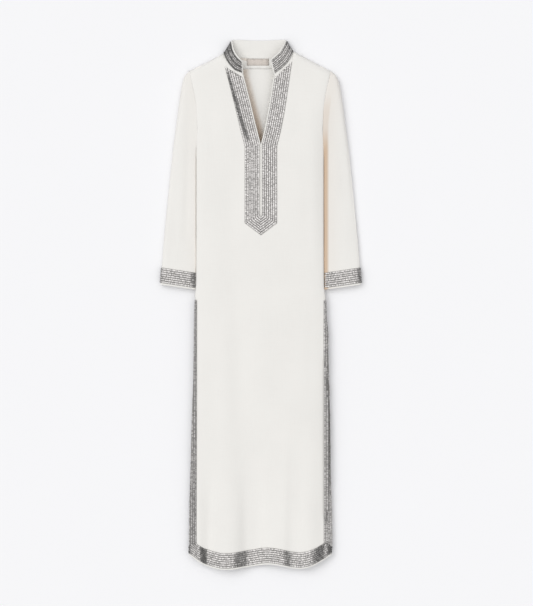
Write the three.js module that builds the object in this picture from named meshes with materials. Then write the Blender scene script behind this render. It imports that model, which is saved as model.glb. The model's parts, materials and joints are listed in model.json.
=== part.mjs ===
// A long kaftan with a stand collar, a deep V neck, side slits and beaded bands, laid flat on its
// back and face up. X runs across the garment, Y from the hem up to the collar and Z off the surface.
// Every cloth wall is a grid of points on its outer face and the same points moved in along their
// normals. What is sewn on a panel is made from that panel's points, moved out. Sizes are millimetres.
import * as THREE from "three";
import { mergeVertices } from "three/addons/utils/BufferGeometryUtils.js";

// Cloth, seams and beaded bands
const CLOTH = 1.2;
const COLLAR_CLOTH = 1.8;
const SEAM_GAP = 0.35;
const BAND_GAP = 0.3;
const BAND_WIDTH = 40;
const BAND_EDGE = 4.5;
const BAND_ROWS = 7;
const ROW_LOW = 0.7;
const ROW_HIGH = 1.6;
const PLAIN_BAND = 1.2;
const MITRE_GAP = 0.25;

// The body's rolled sides
const ROLL = 22;
const ROLL_MIDDLE = 0.6;
const ROLL_UNDER_POWER = 1.4;
const ROLL_STEPS = 12;
const LIP = 30;

// Levels along the garment
const UNDERARM_Y = 425;
const SLIT_TOP_Y = 12;
const SLIT_CUT = 214;
const SHOULDER_ROUND = 18;
const SHOULDER_Z = { neck: 10, tip: 6 };

// The body at levels down its length: how far its side reaches from the centre line, the height of
// its top above the surface, and the height at which its rolled side comes to rest
const BODY = table(
  ["y", "reach", "plateau", "seat"],
  [
    [-720, 191, 20, 2.2],
    [-610, 190, 21, 2.2],
    [-438, 187.5, 23, 2.2],
    [-305, 185, 24, 2.2],
    [-173, 181.5, 25, 2.2],
    [-67, 180, 25, 2.2],
    [12, 178.5, 25, 2.2],
    [36, 172, 25, 1],
    [60, 170.5, 25, 0],
    [250, 170, 26, 0],
    [425, 170, 26, 0],
    [500, 171, 25, 0],
    [543, 175, 24, 0],
    [575, 182, 23, 0],
    [603, 189, 22.5, 0],
    [640, 192, 22, 0],
  ],
);

// Half of the front's cut width, measured over the cloth from the centre line
const CUT = table(
  ["y", "half"],
  [
    [-720, SLIT_CUT],
    [SLIT_TOP_Y, SLIT_CUT],
    [60, 209],
    [UNDERARM_Y, 209.5],
    [640, 209.5],
  ],
);

// The hem's cut edge, at widths over the cloth from the centre line
const HEM = table(
  ["across", "y"],
  [
    [-216, -655],
    [-194, -662],
    [-171, -676],
    [-138, -694],
    [-92, -703],
    [-35, -696],
    [23, -688],
    [106, -701],
    [153, -687],
    [190, -663],
    [216, -654],
  ],
);
const HEM_MIDDLE_Y = -690;

// Long soft folds of the front: middle line at the hem, lean as it rises, half width, rise at the
// hem and the level where it has died away
const FOLDS = [
  { x: -78, lean: 0.02, width: 42, rise: 10, fadesAt: -330 },
  { x: -12, lean: 0.03, width: 36, rise: -8.5, fadesAt: -120 },
  { x: 46, lean: 0.0, width: 26, rise: 6.5, fadesAt: -420 },
  { x: 82, lean: 0.03, width: 20, rise: -4.5, fadesAt: -420 },
  { x: 128, lean: -0.02, width: 32, rise: 7, fadesAt: -360 },
];

// Rows of the front below the underarm, and how far each follows the hem's curve
const FRONT_ROWS = [
  { y: 425, follow: 0 },
  { y: 330, follow: 0 },
  { y: 220, follow: 0 },
  { y: 130, follow: 0 },
  { y: 60, follow: 0 },
  { y: 36, follow: 0 },
  { y: SLIT_TOP_Y, follow: 0 },
  { y: -30, follow: 0 },
  { y: -110, follow: 0 },
  { y: -200, follow: 0.05 },
  { y: -290, follow: 0.12 },
  { y: -370, follow: 0.25 },
  { y: -440, follow: 0.42 },
  { y: -500, follow: 0.6 },
  { y: -550, follow: 0.78 },
  { y: -600, follow: 0.92 },
  { y: HEM_MIDDLE_Y + BAND_EDGE + BAND_WIDTH, follow: 1 },
  { y: HEM_MIDDLE_Y + BAND_EDGE, follow: 1 },
  { y: HEM_MIDDLE_Y, follow: 1 },
];
const SLIT_TOP_ROW = 6;
const BAND_TOP_ROW = 16;

// Columns of half a front, from its cut edge to the centre line. The first ones are a distance from
// the cut edge, so that a slit's band lies on whole columns, and the rest share out what is left.
const EDGE_COLUMNS = [0, ...steps(BAND_ROWS + 1, (i) => BAND_EDGE + (BAND_WIDTH * i) / BAND_ROWS)];
const FIELD_COLUMNS = 8;
const HALF_COLUMNS = EDGE_COLUMNS.length + FIELD_COLUMNS;
const ARMHOLE_COLUMN = 7;

// Shares of the way from the underarm level to the shoulder or the neck seam
const YOKE_ROWS = [0, 0.22, 0.44, 0.64, 0.79, 0.89, 0.95, 0.983, 1];

// The top edge of each half front, from the armhole along the shoulder and down the neck seam to the
// top of the V, and the V's own edge from its top to its foot
const NECK_COLUMN = 4;
const NECKLINE = {
  "-1": {
    top: [
      [-187, 620],
      [-181, 623.5],
      [-160, 633.5],
      [-129, 648.5],
      [-97, 667],
      [-95, 657],
      [-89.5, 646],
      [-80.5, 633.5],
      [-67.5, 620.5],
      [-44.5, 612],
    ],
    vee: [
      [-44.5, 612],
      [-26.5, 542],
      [-11.5, 478],
      [2.3, 425],
    ],
  },
  1: {
    top: [
      [187, 620],
      [181, 623],
      [160, 633.5],
      [128, 651],
      [88.5, 672],
      [86, 661],
      [80.5, 650],
      [71.5, 638],
      [58.5, 625.5],
      [36.5, 609.5],
    ],
    vee: [
      [36.5, 609.5],
      [23.5, 522],
      [13, 468],
      [2.3, 425],
    ],
  },
};
const PLACKET_X = 2.3;

// The armhole seam on half a front, from the underarm level to the shoulder's tip
const ARMHOLE = [
  [167, 425],
  [167, 480],
  [168, 525],
  [173, 560],
  [182, 592],
  [187, 620],
];

// The placket below the V
const PLACKET_FOOT_Y = 233;
const PLACKET_SLOPE = 0.745;
const PLACKET_STEP = 45;
const PLACKET_BAND = BAND_WIDTH - 1.5;
const PIPING_WIDTH = 3.6;
const PIPING_EDGE = 0.3;
const PIPING_LOW = 0.8;
const PIPING_HIGH = 1.8;
const PIPING_BELOW_TOP = -2;
const PIPING_ABOVE_FOOT = 3;
// How far above the V's top the band's inner and outer lanes start
const PLACKET_START = { "-1": { inner: -9, outer: 30 }, 1: { inner: -9, outer: 41 } };

// The sleeve's rows below the armhole: its inner side, its outer side, the height of its top, and
// how far it is lifted off the surface by the band below it
const SLEEVE_ROWS = [
  { inY: 425, inX: 171, outX: 231.5, outY: 428, top: 19, lift: 0, open: true },
  { inY: 396, inX: 171, outX: 235, outY: 400, top: 18, lift: 0 },
  { inY: 330, inX: 171, outX: 241.5, outY: 336, top: 17, lift: 0 },
  { inY: 240, inX: 171, outX: 250.5, outY: 249, top: 16, lift: 0 },
  { inY: 160, inX: 171.5, outX: 258, outY: 172, top: 15.5, lift: 0 },
  { inY: 110, inX: 172.5, outX: 261.8, outY: 123, top: 16, lift: 0.6 },
  { inY: 85, inX: 174.2, outX: 263.2, outY: 98.5, top: 17, lift: 1.9 },
  { inY: 45, inX: 174.2, outX: 266.6, outY: 58.5, top: 17, lift: 1.9 },
  { inY: 40, inX: 174.2, outX: 267, outY: 53.5, top: 17, lift: 1.9 },
];
// The sleeve's outer side beside the armhole, one for each of the front's rows above the underarm
const CAP_ROWS = [
  { outX: 226, outY: 470, top: 20 },
  { outX: 220.5, outY: 514, top: 21 },
  { outX: 215, outY: 552, top: 21 },
  { outX: 210, outY: 583, top: 20.5 },
  { outX: 205, outY: 600, top: 19.5 },
  { outX: 200, outY: 608.5, top: 17 },
  { outX: 196, outY: 613, top: 13 },
  { outX: 191.5, outY: 617, top: 9 },
];
// The sleeves' outer sides lie a little to the right, over this width from their inner sides
const SLEEVE_MIDDLE_X = 2.3;
const SLEEVE_LEAN_OVER = 20;
// The rolls of a sleeve's sides, and the most of its width that each takes
const SLEEVE_INNER = 14;
const SLEEVE_ROLL = 12;
const SLEEVE_UNDER = 8;
const SLEEVE_SHARES = { inner: 0.3, roll: 0.35, under: 0.3 };
const SLEEVE_MIDDLE = 0.45;
// Shares of each roll at which a row has points, in their order round the sleeve
const SLEEVE_STEPS = {
  inner: [0, 0.12, 0.4, 1],
  outer: [0, 0.5, 0.87, 1],
  under: [0.87, 0.4],
  tuck: [0.35, 0.12, 0],
};
const SLEEVE_SEAM_Z = 5;
const SLEEVE_TUCK = 0.6;
const SLEEVE_INNER_Z = 15;
const ARMHOLE_TUCK = 0.6;
const CUFF_TOP_ROW = 6;

// Stations of the collar beside the back of the neck, from the shoulder to the middle of the back:
// the seam, and the collar's top edge
const BACK_NECK = {
  "-1": [
    { x: -94, away: 94, y: 665, topX: -75, topY: 701.5, topZ: 7 },
    { x: -84, away: 84, y: 660, topX: -66, topY: 703, topZ: 2.5 },
    { x: -58, away: 58, y: 656, topX: -45, topY: 702.5, topZ: 1.9 },
    { x: -28, away: 28, y: 654.5, topX: -22, topY: 701, topZ: 1.9 },
    { x: 0, away: 0, y: 654, topX: 0, topY: 700.5, topZ: 1.9 },
  ],
  1: [
    { x: 86, away: 86, y: 669, topX: 68.5, topY: 702.5, topZ: 7 },
    { x: 77, away: 77, y: 662, topX: 60, topY: 703.5, topZ: 2.5 },
    { x: 54, away: 54, y: 656.5, topX: 43, topY: 702.5, topZ: 1.9 },
    { x: 27, away: 27, y: 654.5, topX: 22, topY: 701, topZ: 1.9 },
    { x: 0, away: 0, y: 654, topX: 0, topY: 700.5, topZ: 1.9 },
  ],
};
// The top edge of the collar's fronts, from the fold at the shoulder to the front end
const FRONT_COLLAR = {
  "-1": [
    { topX: -74.5, topY: 699, topZ: 15 },
    { topX: -73, topY: 691, topZ: 22 },
    { topX: -71.5, topY: 680, topZ: 27 },
    { topX: -67, topY: 668.5, topZ: 30 },
    { topX: -59.5, topY: 657.5, topZ: 32 },
    { topX: -46.5, topY: 644.5, topZ: 33 },
  ],
  1: [
    { topX: 68, topY: 700.5, topZ: 15 },
    { topX: 64.5, topY: 693, topZ: 22 },
    { topX: 59.5, topY: 684, topZ: 27 },
    { topX: 53, topY: 672, topZ: 30 },
    { topX: 40.5, topY: 660.5, topZ: 32 },
    { topX: 27, topY: 648.5, topZ: 33 },
  ],
};
const COLLAR_END = 4.2;
const COLLAR_GAP = 0.45;
const NECK_MIDDLE = { x: -4, y: 668 };
const BACK_NECK_Z = 1.9;
// Shares of the collar's height: its seam, the sides of each row of its band, and its top edge
const COLLAR_BAND = { from: 0.04, to: 0.9 };
const COLLAR_ROW = (COLLAR_BAND.to - COLLAR_BAND.from) / BAND_ROWS;
const COLLAR_COLUMNS = [0, ...steps(BAND_ROWS + 1, (i) => COLLAR_BAND.from + COLLAR_ROW * i), 1];

// The back, the facing at its neck and the blank label
const BACK_LIFT = PLAIN_BAND + BAND_GAP;
const BACK_LIFT_FROM_Y = 60;
const BACK_LIFT_RAMP = 12;
const BACK_HEM_RISE = 16;
const BACK_FLARE = 0.006;
const BACK_NECK_FALL = 20;
const BACK_UNDERARM = { x: 2, y: 5 };
const BACK_BAND_END = BAND_EDGE + BAND_WIDTH;
const BACK_EDGE_COLUMNS = [0, BAND_EDGE, BACK_BAND_END, BACK_BAND_END + BACK_LIFT_RAMP];
const BACK_FIELD_COLUMNS = 6;
const LAID_GAP = 0.5;
const FACING = { left: -72, right: 68, bottom: 623, top: 651.5, thick: 1, columns: 6, rows: 3 };
const LABEL = { left: -35.5, right: 24, bottom: 632.5, top: 650.5, thick: 1 };

const COLOURS = {
  cloth: { color: 0xeeece8, roughness: 0.9, metalness: 0 },
  beads: { color: 0x9a9996, roughness: 0.4, metalness: 0.6 },
  label: { color: 0xd6ccc4, roughness: 0.8, metalness: 0 },
};

// Small helpers

function steps(count, value) {
  return Array.from({ length: count }, (_, i) => value(i));
}

function table(names, rows) {
  return rows.map((row) => Object.fromEntries(names.map((name, i) => [name, row[i]])));
}

// A column of a table read at a value of its first one, along a curve with no overshoot.
function read(rows, key, column, at) {
  const last = rows.length - 1;
  const first = rows.findIndex((row, i) => i === last - 1 || rows[i + 1][key] >= at);
  const [a, b] = [rows[first], rows[first + 1]];
  const t = THREE.MathUtils.clamp((at - a[key]) / (b[key] - a[key]), 0, 1);
  const slope = (i) => (rows[i + 1][column] - rows[i][column]) / (rows[i + 1][key] - rows[i][key]);
  const tangent = (i) => {
    if (i === 0 || i === last) return slope(Math.min(i, last - 1));
    const [before, after] = [slope(i - 1), slope(i)];
    return before * after <= 0 ? 0 : (2 * before * after) / (before + after);
  };
  const span = b[key] - a[key];
  return (
    a[column] * (1 - t) ** 2 * (1 + 2 * t) +
    b[column] * t ** 2 * (3 - 2 * t) +
    span * (tangent(first) * t * (1 - t) ** 2 - tangent(first + 1) * t ** 2 * (1 - t))
  );
}

// A point at a share of the length of a run of points.
function along(points, share) {
  const lengths = [0];
  for (let i = 1; i < points.length; i++) {
    const [[x0, y0], [x1, y1]] = [points[i - 1], points[i]];
    lengths.push(lengths[i - 1] + Math.hypot(x1 - x0, y1 - y0));
  }
  const wanted = share * lengths.at(-1);
  const i = Math.max(1, lengths.findIndex((length) => length >= wanted - 1e-9));
  const t = (wanted - lengths[i - 1]) / (lengths[i] - lengths[i - 1]);
  return [0, 1].map((axis) => THREE.MathUtils.lerp(points[i - 1][axis], points[i][axis], t));
}

// How far a round edge has risen at a share of its width.
function rounded(share) {
  const t = THREE.MathUtils.clamp(share, 0, 1);
  return Math.sqrt(1 - (1 - t) ** 2);
}

const DOWN = new THREE.Vector3(0, 0, -1);
const UP = new THREE.Vector3(0, 0, 1);

// A point of a cloth grid, with the normal it is thickened along where a seam sets that
function knot(x, y, z, normal = null) {
  return { p: new THREE.Vector3(x, y, z), n: normal };
}

function between(a, b, t) {
  return { p: a.p.clone().lerp(b.p, t), n: a.n.clone().lerp(b.n, t).normalize() };
}

function moved(k, distance) {
  return k.p.clone().addScaledVector(k.n, distance);
}

// Solids from triangles

function solid(triangles) {
  const positions = new Float32Array(triangles.flat().flatMap((p) => [p.x, p.y, p.z]));
  const soup = new THREE.BufferGeometry();
  soup.setAttribute("position", new THREE.BufferAttribute(positions, 3));
  const merged = mergeVertices(soup, 1e-3);
  const index = merged.index.array;
  const kept = [];
  for (let i = 0; i < index.length; i += 3) {
    const [a, b, c] = [index[i], index[i + 1], index[i + 2]];
    if (a !== b && b !== c && c !== a) kept.push(a, b, c);
  }
  merged.setIndex(kept);
  merged.computeVertexNormals();
  return merged;
}

// Cloth grids joined where their points meet: each point gets the mean normal of its faces, or the
// normal its seam sets. A grid whose outer face looks the other way is marked flip.
function join(grids) {
  const knots = new Map();
  const faces = [];
  const find = (k) => {
    const key = k.p.toArray().map((v) => Math.round(v * 1000)).join();
    if (!knots.has(key)) knots.set(key, { p: k.p, n: k.n, sum: new THREE.Vector3(), users: [] });
    const found = knots.get(key);
    found.n ??= k.n;
    found.users.push(k);
    return found;
  };
  const face = (a, b, c) => {
    if (a === b || b === c || c === a) return;
    const normal = b.p.clone().sub(a.p).cross(c.p.clone().sub(a.p));
    [a, b, c].forEach((k) => k.sum.add(normal));
    faces.push([a, b, c]);
  };
  for (const { rows, flip } of grids) {
    const found = rows.map((row) => row.map(find));
    for (let r = 0; r + 1 < found.length; r++) {
      for (let c = 0; c + 1 < found[r].length; c++) {
        const [a, b] = [found[r][c], found[r + 1][c]];
        const [e, d] = [found[r][c + 1], found[r + 1][c + 1]];
        face(a, ...(flip ? [d, b] : [b, d]));
        face(a, ...(flip ? [e, d] : [d, e]));
      }
    }
  }
  for (const k of knots.values()) {
    k.n ??= k.sum.normalize();
    k.users.forEach((user) => (user.n = k.n));
  }
  return faces;
}

// A wall of cloth inside the joined faces.
function wall(faces, thickness) {
  const inner = new Map();
  const inside = (k) => {
    if (!inner.has(k)) inner.set(k, moved(k, -thickness));
    return inner.get(k);
  };
  const edges = new Map();
  const triangles = [];
  let count = 0;
  const id = new Map();
  const number = (k) => {
    if (!id.has(k)) id.set(k, count++);
    return id.get(k);
  };
  for (const [a, b, c] of faces) {
    triangles.push([a.p, b.p, c.p], [inside(c), inside(b), inside(a)]);
    for (const [u, v] of [[a, b], [b, c], [c, a]]) {
      edges.set(number(u) + " " + number(v), [u, v]);
    }
  }
  for (const [u, v] of edges.values()) {
    if (edges.has(number(v) + " " + number(u))) continue;
    triangles.push([v.p, u.p, inside(u)], [v.p, inside(u), inside(v)]);
  }
  return solid(triangles);
}

// Triangles between two runs of points, whatever their counts.
function zip(a, b) {
  if (a.length === b.length) {
    return a.slice(1).flatMap((next, i) => [
      [a[i], b[i], next],
      [next, b[i], b[i + 1]],
    ]);
  }
  const shares = (run) => {
    const lengths = [0];
    for (let i = 1; i < run.length; i++) lengths.push(lengths[i - 1] + run[i].distanceTo(run[i - 1]));
    return lengths.map((length) => length / lengths.at(-1));
  };
  const [sa, sb] = [shares(a), shares(b)];
  const triangles = [];
  let [i, j] = [0, 0];
  while (i + 1 < a.length || j + 1 < b.length) {
    const takeA = j + 1 === b.length || (i + 1 < a.length && sa[i + 1] + sa[i] <= sb[j + 1] + sb[j]);
    if (takeA) {
      triangles.push([a[i], b[j], a[i + 1]]);
      i++;
    } else {
      triangles.push([a[i], b[j], b[j + 1]]);
      j++;
    }
  }
  return triangles;
}

// A strip that lies on a panel: laneAt(share) is a run of the panel's points, from one side of the
// strip at 0 to the other at 1. Its top rises to a ridge along each row, and its underside is plain.
function strip(laneAt, { rows, low, high, closed = false }) {
  const lanes = steps(rows + 1, (i) => laneAt(i / rows));
  const ridges = steps(rows, (i) => laneAt((i + 0.5) / rows));
  const under = lanes.map((lane) => lane.map((k) => moved(k, BAND_GAP)));
  const top = [];
  lanes.forEach((lane, i) => {
    top.push(lane.map((k) => moved(k, BAND_GAP + low)));
    if (i < rows) top.push(ridges[i].map((k) => moved(k, BAND_GAP + high)));
  });
  const triangles = [];
  for (let i = 0; i + 1 < top.length; i++) triangles.push(...zip(top[i], top[i + 1]));
  for (let i = 0; i + 1 < under.length; i++) triangles.push(...zip(under[i + 1], under[i]));
  triangles.push(...zip(under[0], top[0]), ...zip(top.at(-1), under.at(-1)));
  if (!closed) {
    const start = (runs) => runs.map((run) => run[0]);
    const end = (runs) => runs.map((run) => run.at(-1));
    triangles.push(...zip(start(top), start(under)), ...zip(end(under), end(top)));
  }
  return solid(outward(triangles));
}

// Triangles all turned to face out.
function outward(triangles) {
  const volume = triangles.reduce((sum, [a, b, c]) => sum + a.dot(b.clone().cross(c)), 0);
  return volume < 0 ? triangles.map((t) => t.toReversed()) : triangles;
}

const BEADED = { rows: BAND_ROWS, low: ROW_LOW, high: ROW_HIGH };
const PLAIN = { rows: 1, low: PLAIN_BAND, high: PLAIN_BAND };
const PIPED = { rows: 1, low: PIPING_LOW, high: PIPING_HIGH };

// The first point of a run moved towards its second, to leave a gap at a mitre
function trimmed(run, gap) {
  const [a, b] = run;
  return [between(a, b, gap / a.p.distanceTo(b.p)), ...run.slice(1)];
}

// The form of the front

function foldsAt(x, y) {
  return FOLDS.reduce((sum, fold) => {
    const off = (x - fold.x - fold.lean * (y - HEM_MIDDLE_Y)) / fold.width;
    const strength = THREE.MathUtils.smoothstep(fold.fadesAt - y, 0, fold.fadesAt - HEM_MIDDLE_Y);
    return sum + fold.rise * strength * Math.exp(-off * off);
  }, 0);
}

// Share of the round edge at the shoulder, and the shoulder seam's height, at a place on the yoke
function shoulderAt(side, x, y) {
  const top = NECKLINE[side].top;
  const [tip, neck] = [top[0], top[NECK_COLUMN]];
  const run = new THREE.Vector2(neck[0] - tip[0], neck[1] - tip[1]);
  const length = run.length();
  const off = new THREE.Vector2(x - tip[0], y - tip[1]);
  const line = THREE.MathUtils.clamp(off.dot(run) / length ** 2, 0, 1);
  const bulge = read(shoulderLine(side), "x", "y", Math.abs(x)) - y;
  const below = (bulge * Math.abs(run.x)) / length;
  return {
    share: below / SHOULDER_ROUND,
    seamZ: THREE.MathUtils.lerp(SHOULDER_Z.tip, SHOULDER_Z.neck, line),
  };
}

// The shoulder's outline carried on past the neck, for measuring how far below it a point lies
function shoulderLine(side) {
  const run = NECKLINE[side].top.slice(0, NECK_COLUMN + 1);
  const [a, b] = run.slice(-2);
  const slope = (b[1] - a[1]) / (b[0] - a[0]);
  const rows = run.map(([x, y]) => ({ x: Math.abs(x), y })).reverse();
  return [{ x: 0, y: b[1] - slope * b[0] }, ...rows];
}

function bodyTop(x, y) {
  return read(BODY, "y", "plateau", y) + foldsAt(x, y);
}

// The way down a rolled side at one level: places across and heights, with their lengths.
function rollPath(side, y) {
  const reach = read(BODY, "y", "reach", y);
  const seat = read(BODY, "y", "seat", y);
  const start = reach - ROLL;
  const top = bodyTop(side * start, y);
  const middle = seat + ROLL_MIDDLE * (top - seat);
  const path = [];
  for (let i = 0; i <= ROLL_STEPS; i++) {
    const angle = (Math.PI / 2) * (1 - i / ROLL_STEPS);
    path.push([start + ROLL * Math.cos(angle), middle + (top - middle) * Math.sin(angle)]);
  }
  for (let i = 1; i <= ROLL_STEPS; i++) {
    const angle = (Math.PI / 2) * (i / ROLL_STEPS);
    const out = Math.cos(angle) ** (2 / ROLL_UNDER_POWER);
    const down = Math.sin(angle) ** (2 / ROLL_UNDER_POWER);
    path.push([start + ROLL * out, middle - (middle - seat) * down]);
  }
  path.push([start - LIP, seat]);
  return { start, path };
}

// A point of the front at a distance over the cloth from the centre line.
function frontPoint(side, over, y) {
  const { start, path } = rollPath(side, y);
  if (over <= start) return knot(side * over, y, bodyTop(side * over, y));
  let left = over - start;
  for (let i = 1; i < path.length; i++) {
    const [[x0, z0], [x1, z1]] = [path[i - 1], path[i]];
    const length = Math.hypot(x1 - x0, z1 - z0);
    if (left <= length || i === path.length - 1) {
      const t = left / length;
      return knot(side * THREE.MathUtils.lerp(x0, x1, t), y, THREE.MathUtils.lerp(z0, z1, t));
    }
    left -= length;
  }
  return null;
}

// The height of the front's yoke at a place, with its round shoulder and its side falling away.
function yokeTop(side, x, y) {
  const reach = read(BODY, "y", "reach", y);
  const out = THREE.MathUtils.clamp((Math.abs(x) - (reach - ROLL)) / ROLL, 0, 1);
  const top = bodyTop(x, y);
  const middle = ROLL_MIDDLE * top;
  const full = middle + (top - middle) * Math.sqrt(1 - out ** 2);
  const { share, seamZ } = shoulderAt(side, x, y);
  const edge = seamZ + SEAM_GAP / 2;
  return edge + (full - edge) * rounded(share);
}

function frontRow(row) {
  const half = (side) =>
    steps(HALF_COLUMNS, (i) => {
      const cut = read(CUT, "y", "half", row.y);
      const edge = EDGE_COLUMNS.length;
      const field = cut - EDGE_COLUMNS.at(-1);
      const over = i < edge ? cut - EDGE_COLUMNS[i] : field * (1 - (i - edge + 1) / FIELD_COLUMNS);
      const y = row.y + row.follow * (read(HEM, "across", "y", side * over) - HEM_MIDDLE_Y);
      return frontPoint(side, over, y);
    });
  const left = half(-1);
  const right = half(1);
  const atVee = row.y === UNDERARM_Y;
  if (atVee) left[HALF_COLUMNS - 1] = knot(PLACKET_X, UNDERARM_Y, bodyTop(PLACKET_X, UNDERARM_Y));
  return [...left, ...right.toReversed().slice(1)];
}

// One half of a yoke, from its bottom row up: a patch between that row, the top edge's points, the
// armhole and the middle edge, with one column to each point of the top.
function yoke(side, bottomRow, top, armhole, middle, heightAt) {
  const last = bottomRow.length - 1;
  const corner = (across, up, axis) => {
    const mix = THREE.MathUtils.lerp;
    const low = mix(bottomRow[0].p.getComponent(axis), bottomRow[last].p.getComponent(axis), across);
    return mix(low, mix(top[0][axis], top[last][axis], across), up);
  };
  return YOKE_ROWS.map((up) =>
    bottomRow.map((from, i) => {
      if (up === 0) return from;
      const across = i / last;
      const sides = [along(armhole, up), along(middle, up)];
      const [x, y] = [0, 1].map(
        (axis) =>
          THREE.MathUtils.lerp(from.p.getComponent(axis), top[i][axis], up) +
          THREE.MathUtils.lerp(sides[0][axis], sides[1][axis], across) -
          corner(across, up, axis),
      );
      return knot(x, y, heightAt(side, x, y));
    }),
  );
}

// The level way out from a shoulder seam
function shoulderNormal(side) {
  const [tip, neck] = [NECKLINE[side].top[0], NECKLINE[side].top[NECK_COLUMN]];
  return new THREE.Vector3(side * Math.abs(neck[1] - tip[1]), Math.abs(neck[0] - tip[0]), 0).normalize();
}

// Seam normals of a yoke's top row: level at the shoulder, and along the given way at the neck.
function seamTop(side, rows, neckNormal) {
  rows.at(-1).forEach((k, i) => (k.n = i <= NECK_COLUMN ? shoulderNormal(side) : neckNormal));
}

// The front panel

function frontPanel() {
  const rows = FRONT_ROWS.map(frontRow);
  const first = rows[0];
  const halves = {
    "-1": first.slice(ARMHOLE_COLUMN, HALF_COLUMNS),
    1: first.slice(HALF_COLUMNS - 1, first.length - ARMHOLE_COLUMN).toReversed(),
  };
  const yokes = {};
  for (const side of [-1, 1]) {
    const { top, vee } = NECKLINE[side];
    const armhole = ARMHOLE.map(([x, y]) => [side * x, y]);
    yokes[side] = yoke(side, halves[side], top, armhole, vee.toReversed(), yokeTop);
    yokes[side].slice(1).forEach((row) => (row[0].n = UP));
    seamTop(side, yokes[side], UP);
  }
  const middle = HALF_COLUMNS - 1;
  const faces = join([
    { rows: rows.map((row) => row.slice(0, middle + 1)), flip: false },
    { rows: rows.map((row) => row.slice(middle).toReversed()), flip: true },
    { rows: yokes[-1].toReversed(), flip: false },
    { rows: yokes[1].toReversed(), flip: true },
  ]);
  return { rows, yokes, faces };
}

// A grid read between its points
function gridAt(grid, r, c) {
  const row = Math.min(Math.floor(r), grid.length - 2);
  const column = Math.min(Math.floor(c), grid[0].length - 2);
  const upper = between(grid[row][column], grid[row][column + 1], c - column);
  const lower = between(grid[row + 1][column], grid[row + 1][column + 1], c - column);
  return between(upper, lower, r - row);
}

// A border down a slit and along the hem: its lanes follow the columns beside the cut edge, turn at
// the corner and follow the rows beside the hem. columnAt gives a lane's column on the left half.
function slitLane(grid, side, share, columnAt, topRow, bandRow) {
  const last = grid[0].length - 1;
  const column = side < 0 ? columnAt(share) : last - columnAt(share);
  const run = [];
  for (let r = topRow; r <= bandRow; r++) run.push(gridAt(grid, r, column));
  if (share < 1) run.push(gridAt(grid, bandRow + 1 - share, column));
  return trimmed(run.toReversed(), MITRE_GAP).toReversed();
}

function hemLane(grid, share, columnAt, bandRow) {
  const last = grid[0].length - 1;
  const row = bandRow + 1 - share;
  const start = columnAt(share);
  const run = [gridAt(grid, row, start)];
  for (let c = Math.floor(start) + 1; c < last - start; c++) run.push(gridAt(grid, row, c));
  run.push(gridAt(grid, row, last - start));
  return trimmed(trimmed(run, MITRE_GAP).toReversed(), MITRE_GAP);
}

// The placket and its bands

// How far a lane of the placket's band starts above the V's top, and where it turns and ends below
function placketLane(side, distance, { start, turnY, endY = null }) {
  const line = [...NECKLINE[side].vee, [PLACKET_X, turnY]];
  const ways = line
    .slice(1)
    .map(([x, y], i) => new THREE.Vector2(x - line[i][0], y - line[i][1]).normalize());
  const out = line.map((_, i) => {
    const [a, b] = [ways[Math.max(0, i - 1)], ways[Math.min(ways.length - 1, i)]];
    const way = a.clone().add(b).normalize();
    const normal = new THREE.Vector2(side * Math.abs(way.y), -Math.abs(way.x));
    return normal.divideScalar(way.dot(a));
  });
  const plan = line.map(([x, y], i) => [x + out[i].x * distance, y + out[i].y * distance]);
  plan[0] = [plan[0][0] - ways[0].x * start, plan[0][1] - ways[0].y * start];
  plan[plan.length - 1] = [PLACKET_X + side * distance, turnY];
  const fine = plan.slice(1).flatMap(([x, y], i) => {
    const [x0, y0] = plan[i];
    const parts = Math.ceil(Math.hypot(x - x0, y - y0) / PLACKET_STEP);
    return steps(parts, (n) => [x0 + ((x - x0) * n) / parts, y0 + ((y - y0) * n) / parts]);
  });
  fine.push(plan.at(-1));
  if (endY !== null) fine.push([PLACKET_X + side * MITRE_GAP, endY]);
  return fine.map(([x, y]) => knot(x, y, bodyTop(x, y), UP));
}

function placketBand(side) {
  const { inner, outer } = PLACKET_START[side];
  return strip((share) => {
    const across = share * PLACKET_BAND;
    const distance = PIPING_WIDTH + BAND_GAP + across;
    const endY = PLACKET_FOOT_Y - across * Math.hypot(1, PLACKET_SLOPE);
    const start = THREE.MathUtils.lerp(inner, outer, share);
    return placketLane(side, distance, { start, turnY: endY + PLACKET_SLOPE * distance, endY });
  }, BEADED);
}

function piping(side) {
  const ends = { start: PIPING_BELOW_TOP, turnY: PLACKET_FOOT_Y + PIPING_ABOVE_FOOT };
  return strip((share) => {
    const distance = PIPING_EDGE + share * (PIPING_WIDTH - PIPING_EDGE);
    return placketLane(side, distance, ends);
  }, PIPED);
}

// The sleeves

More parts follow.
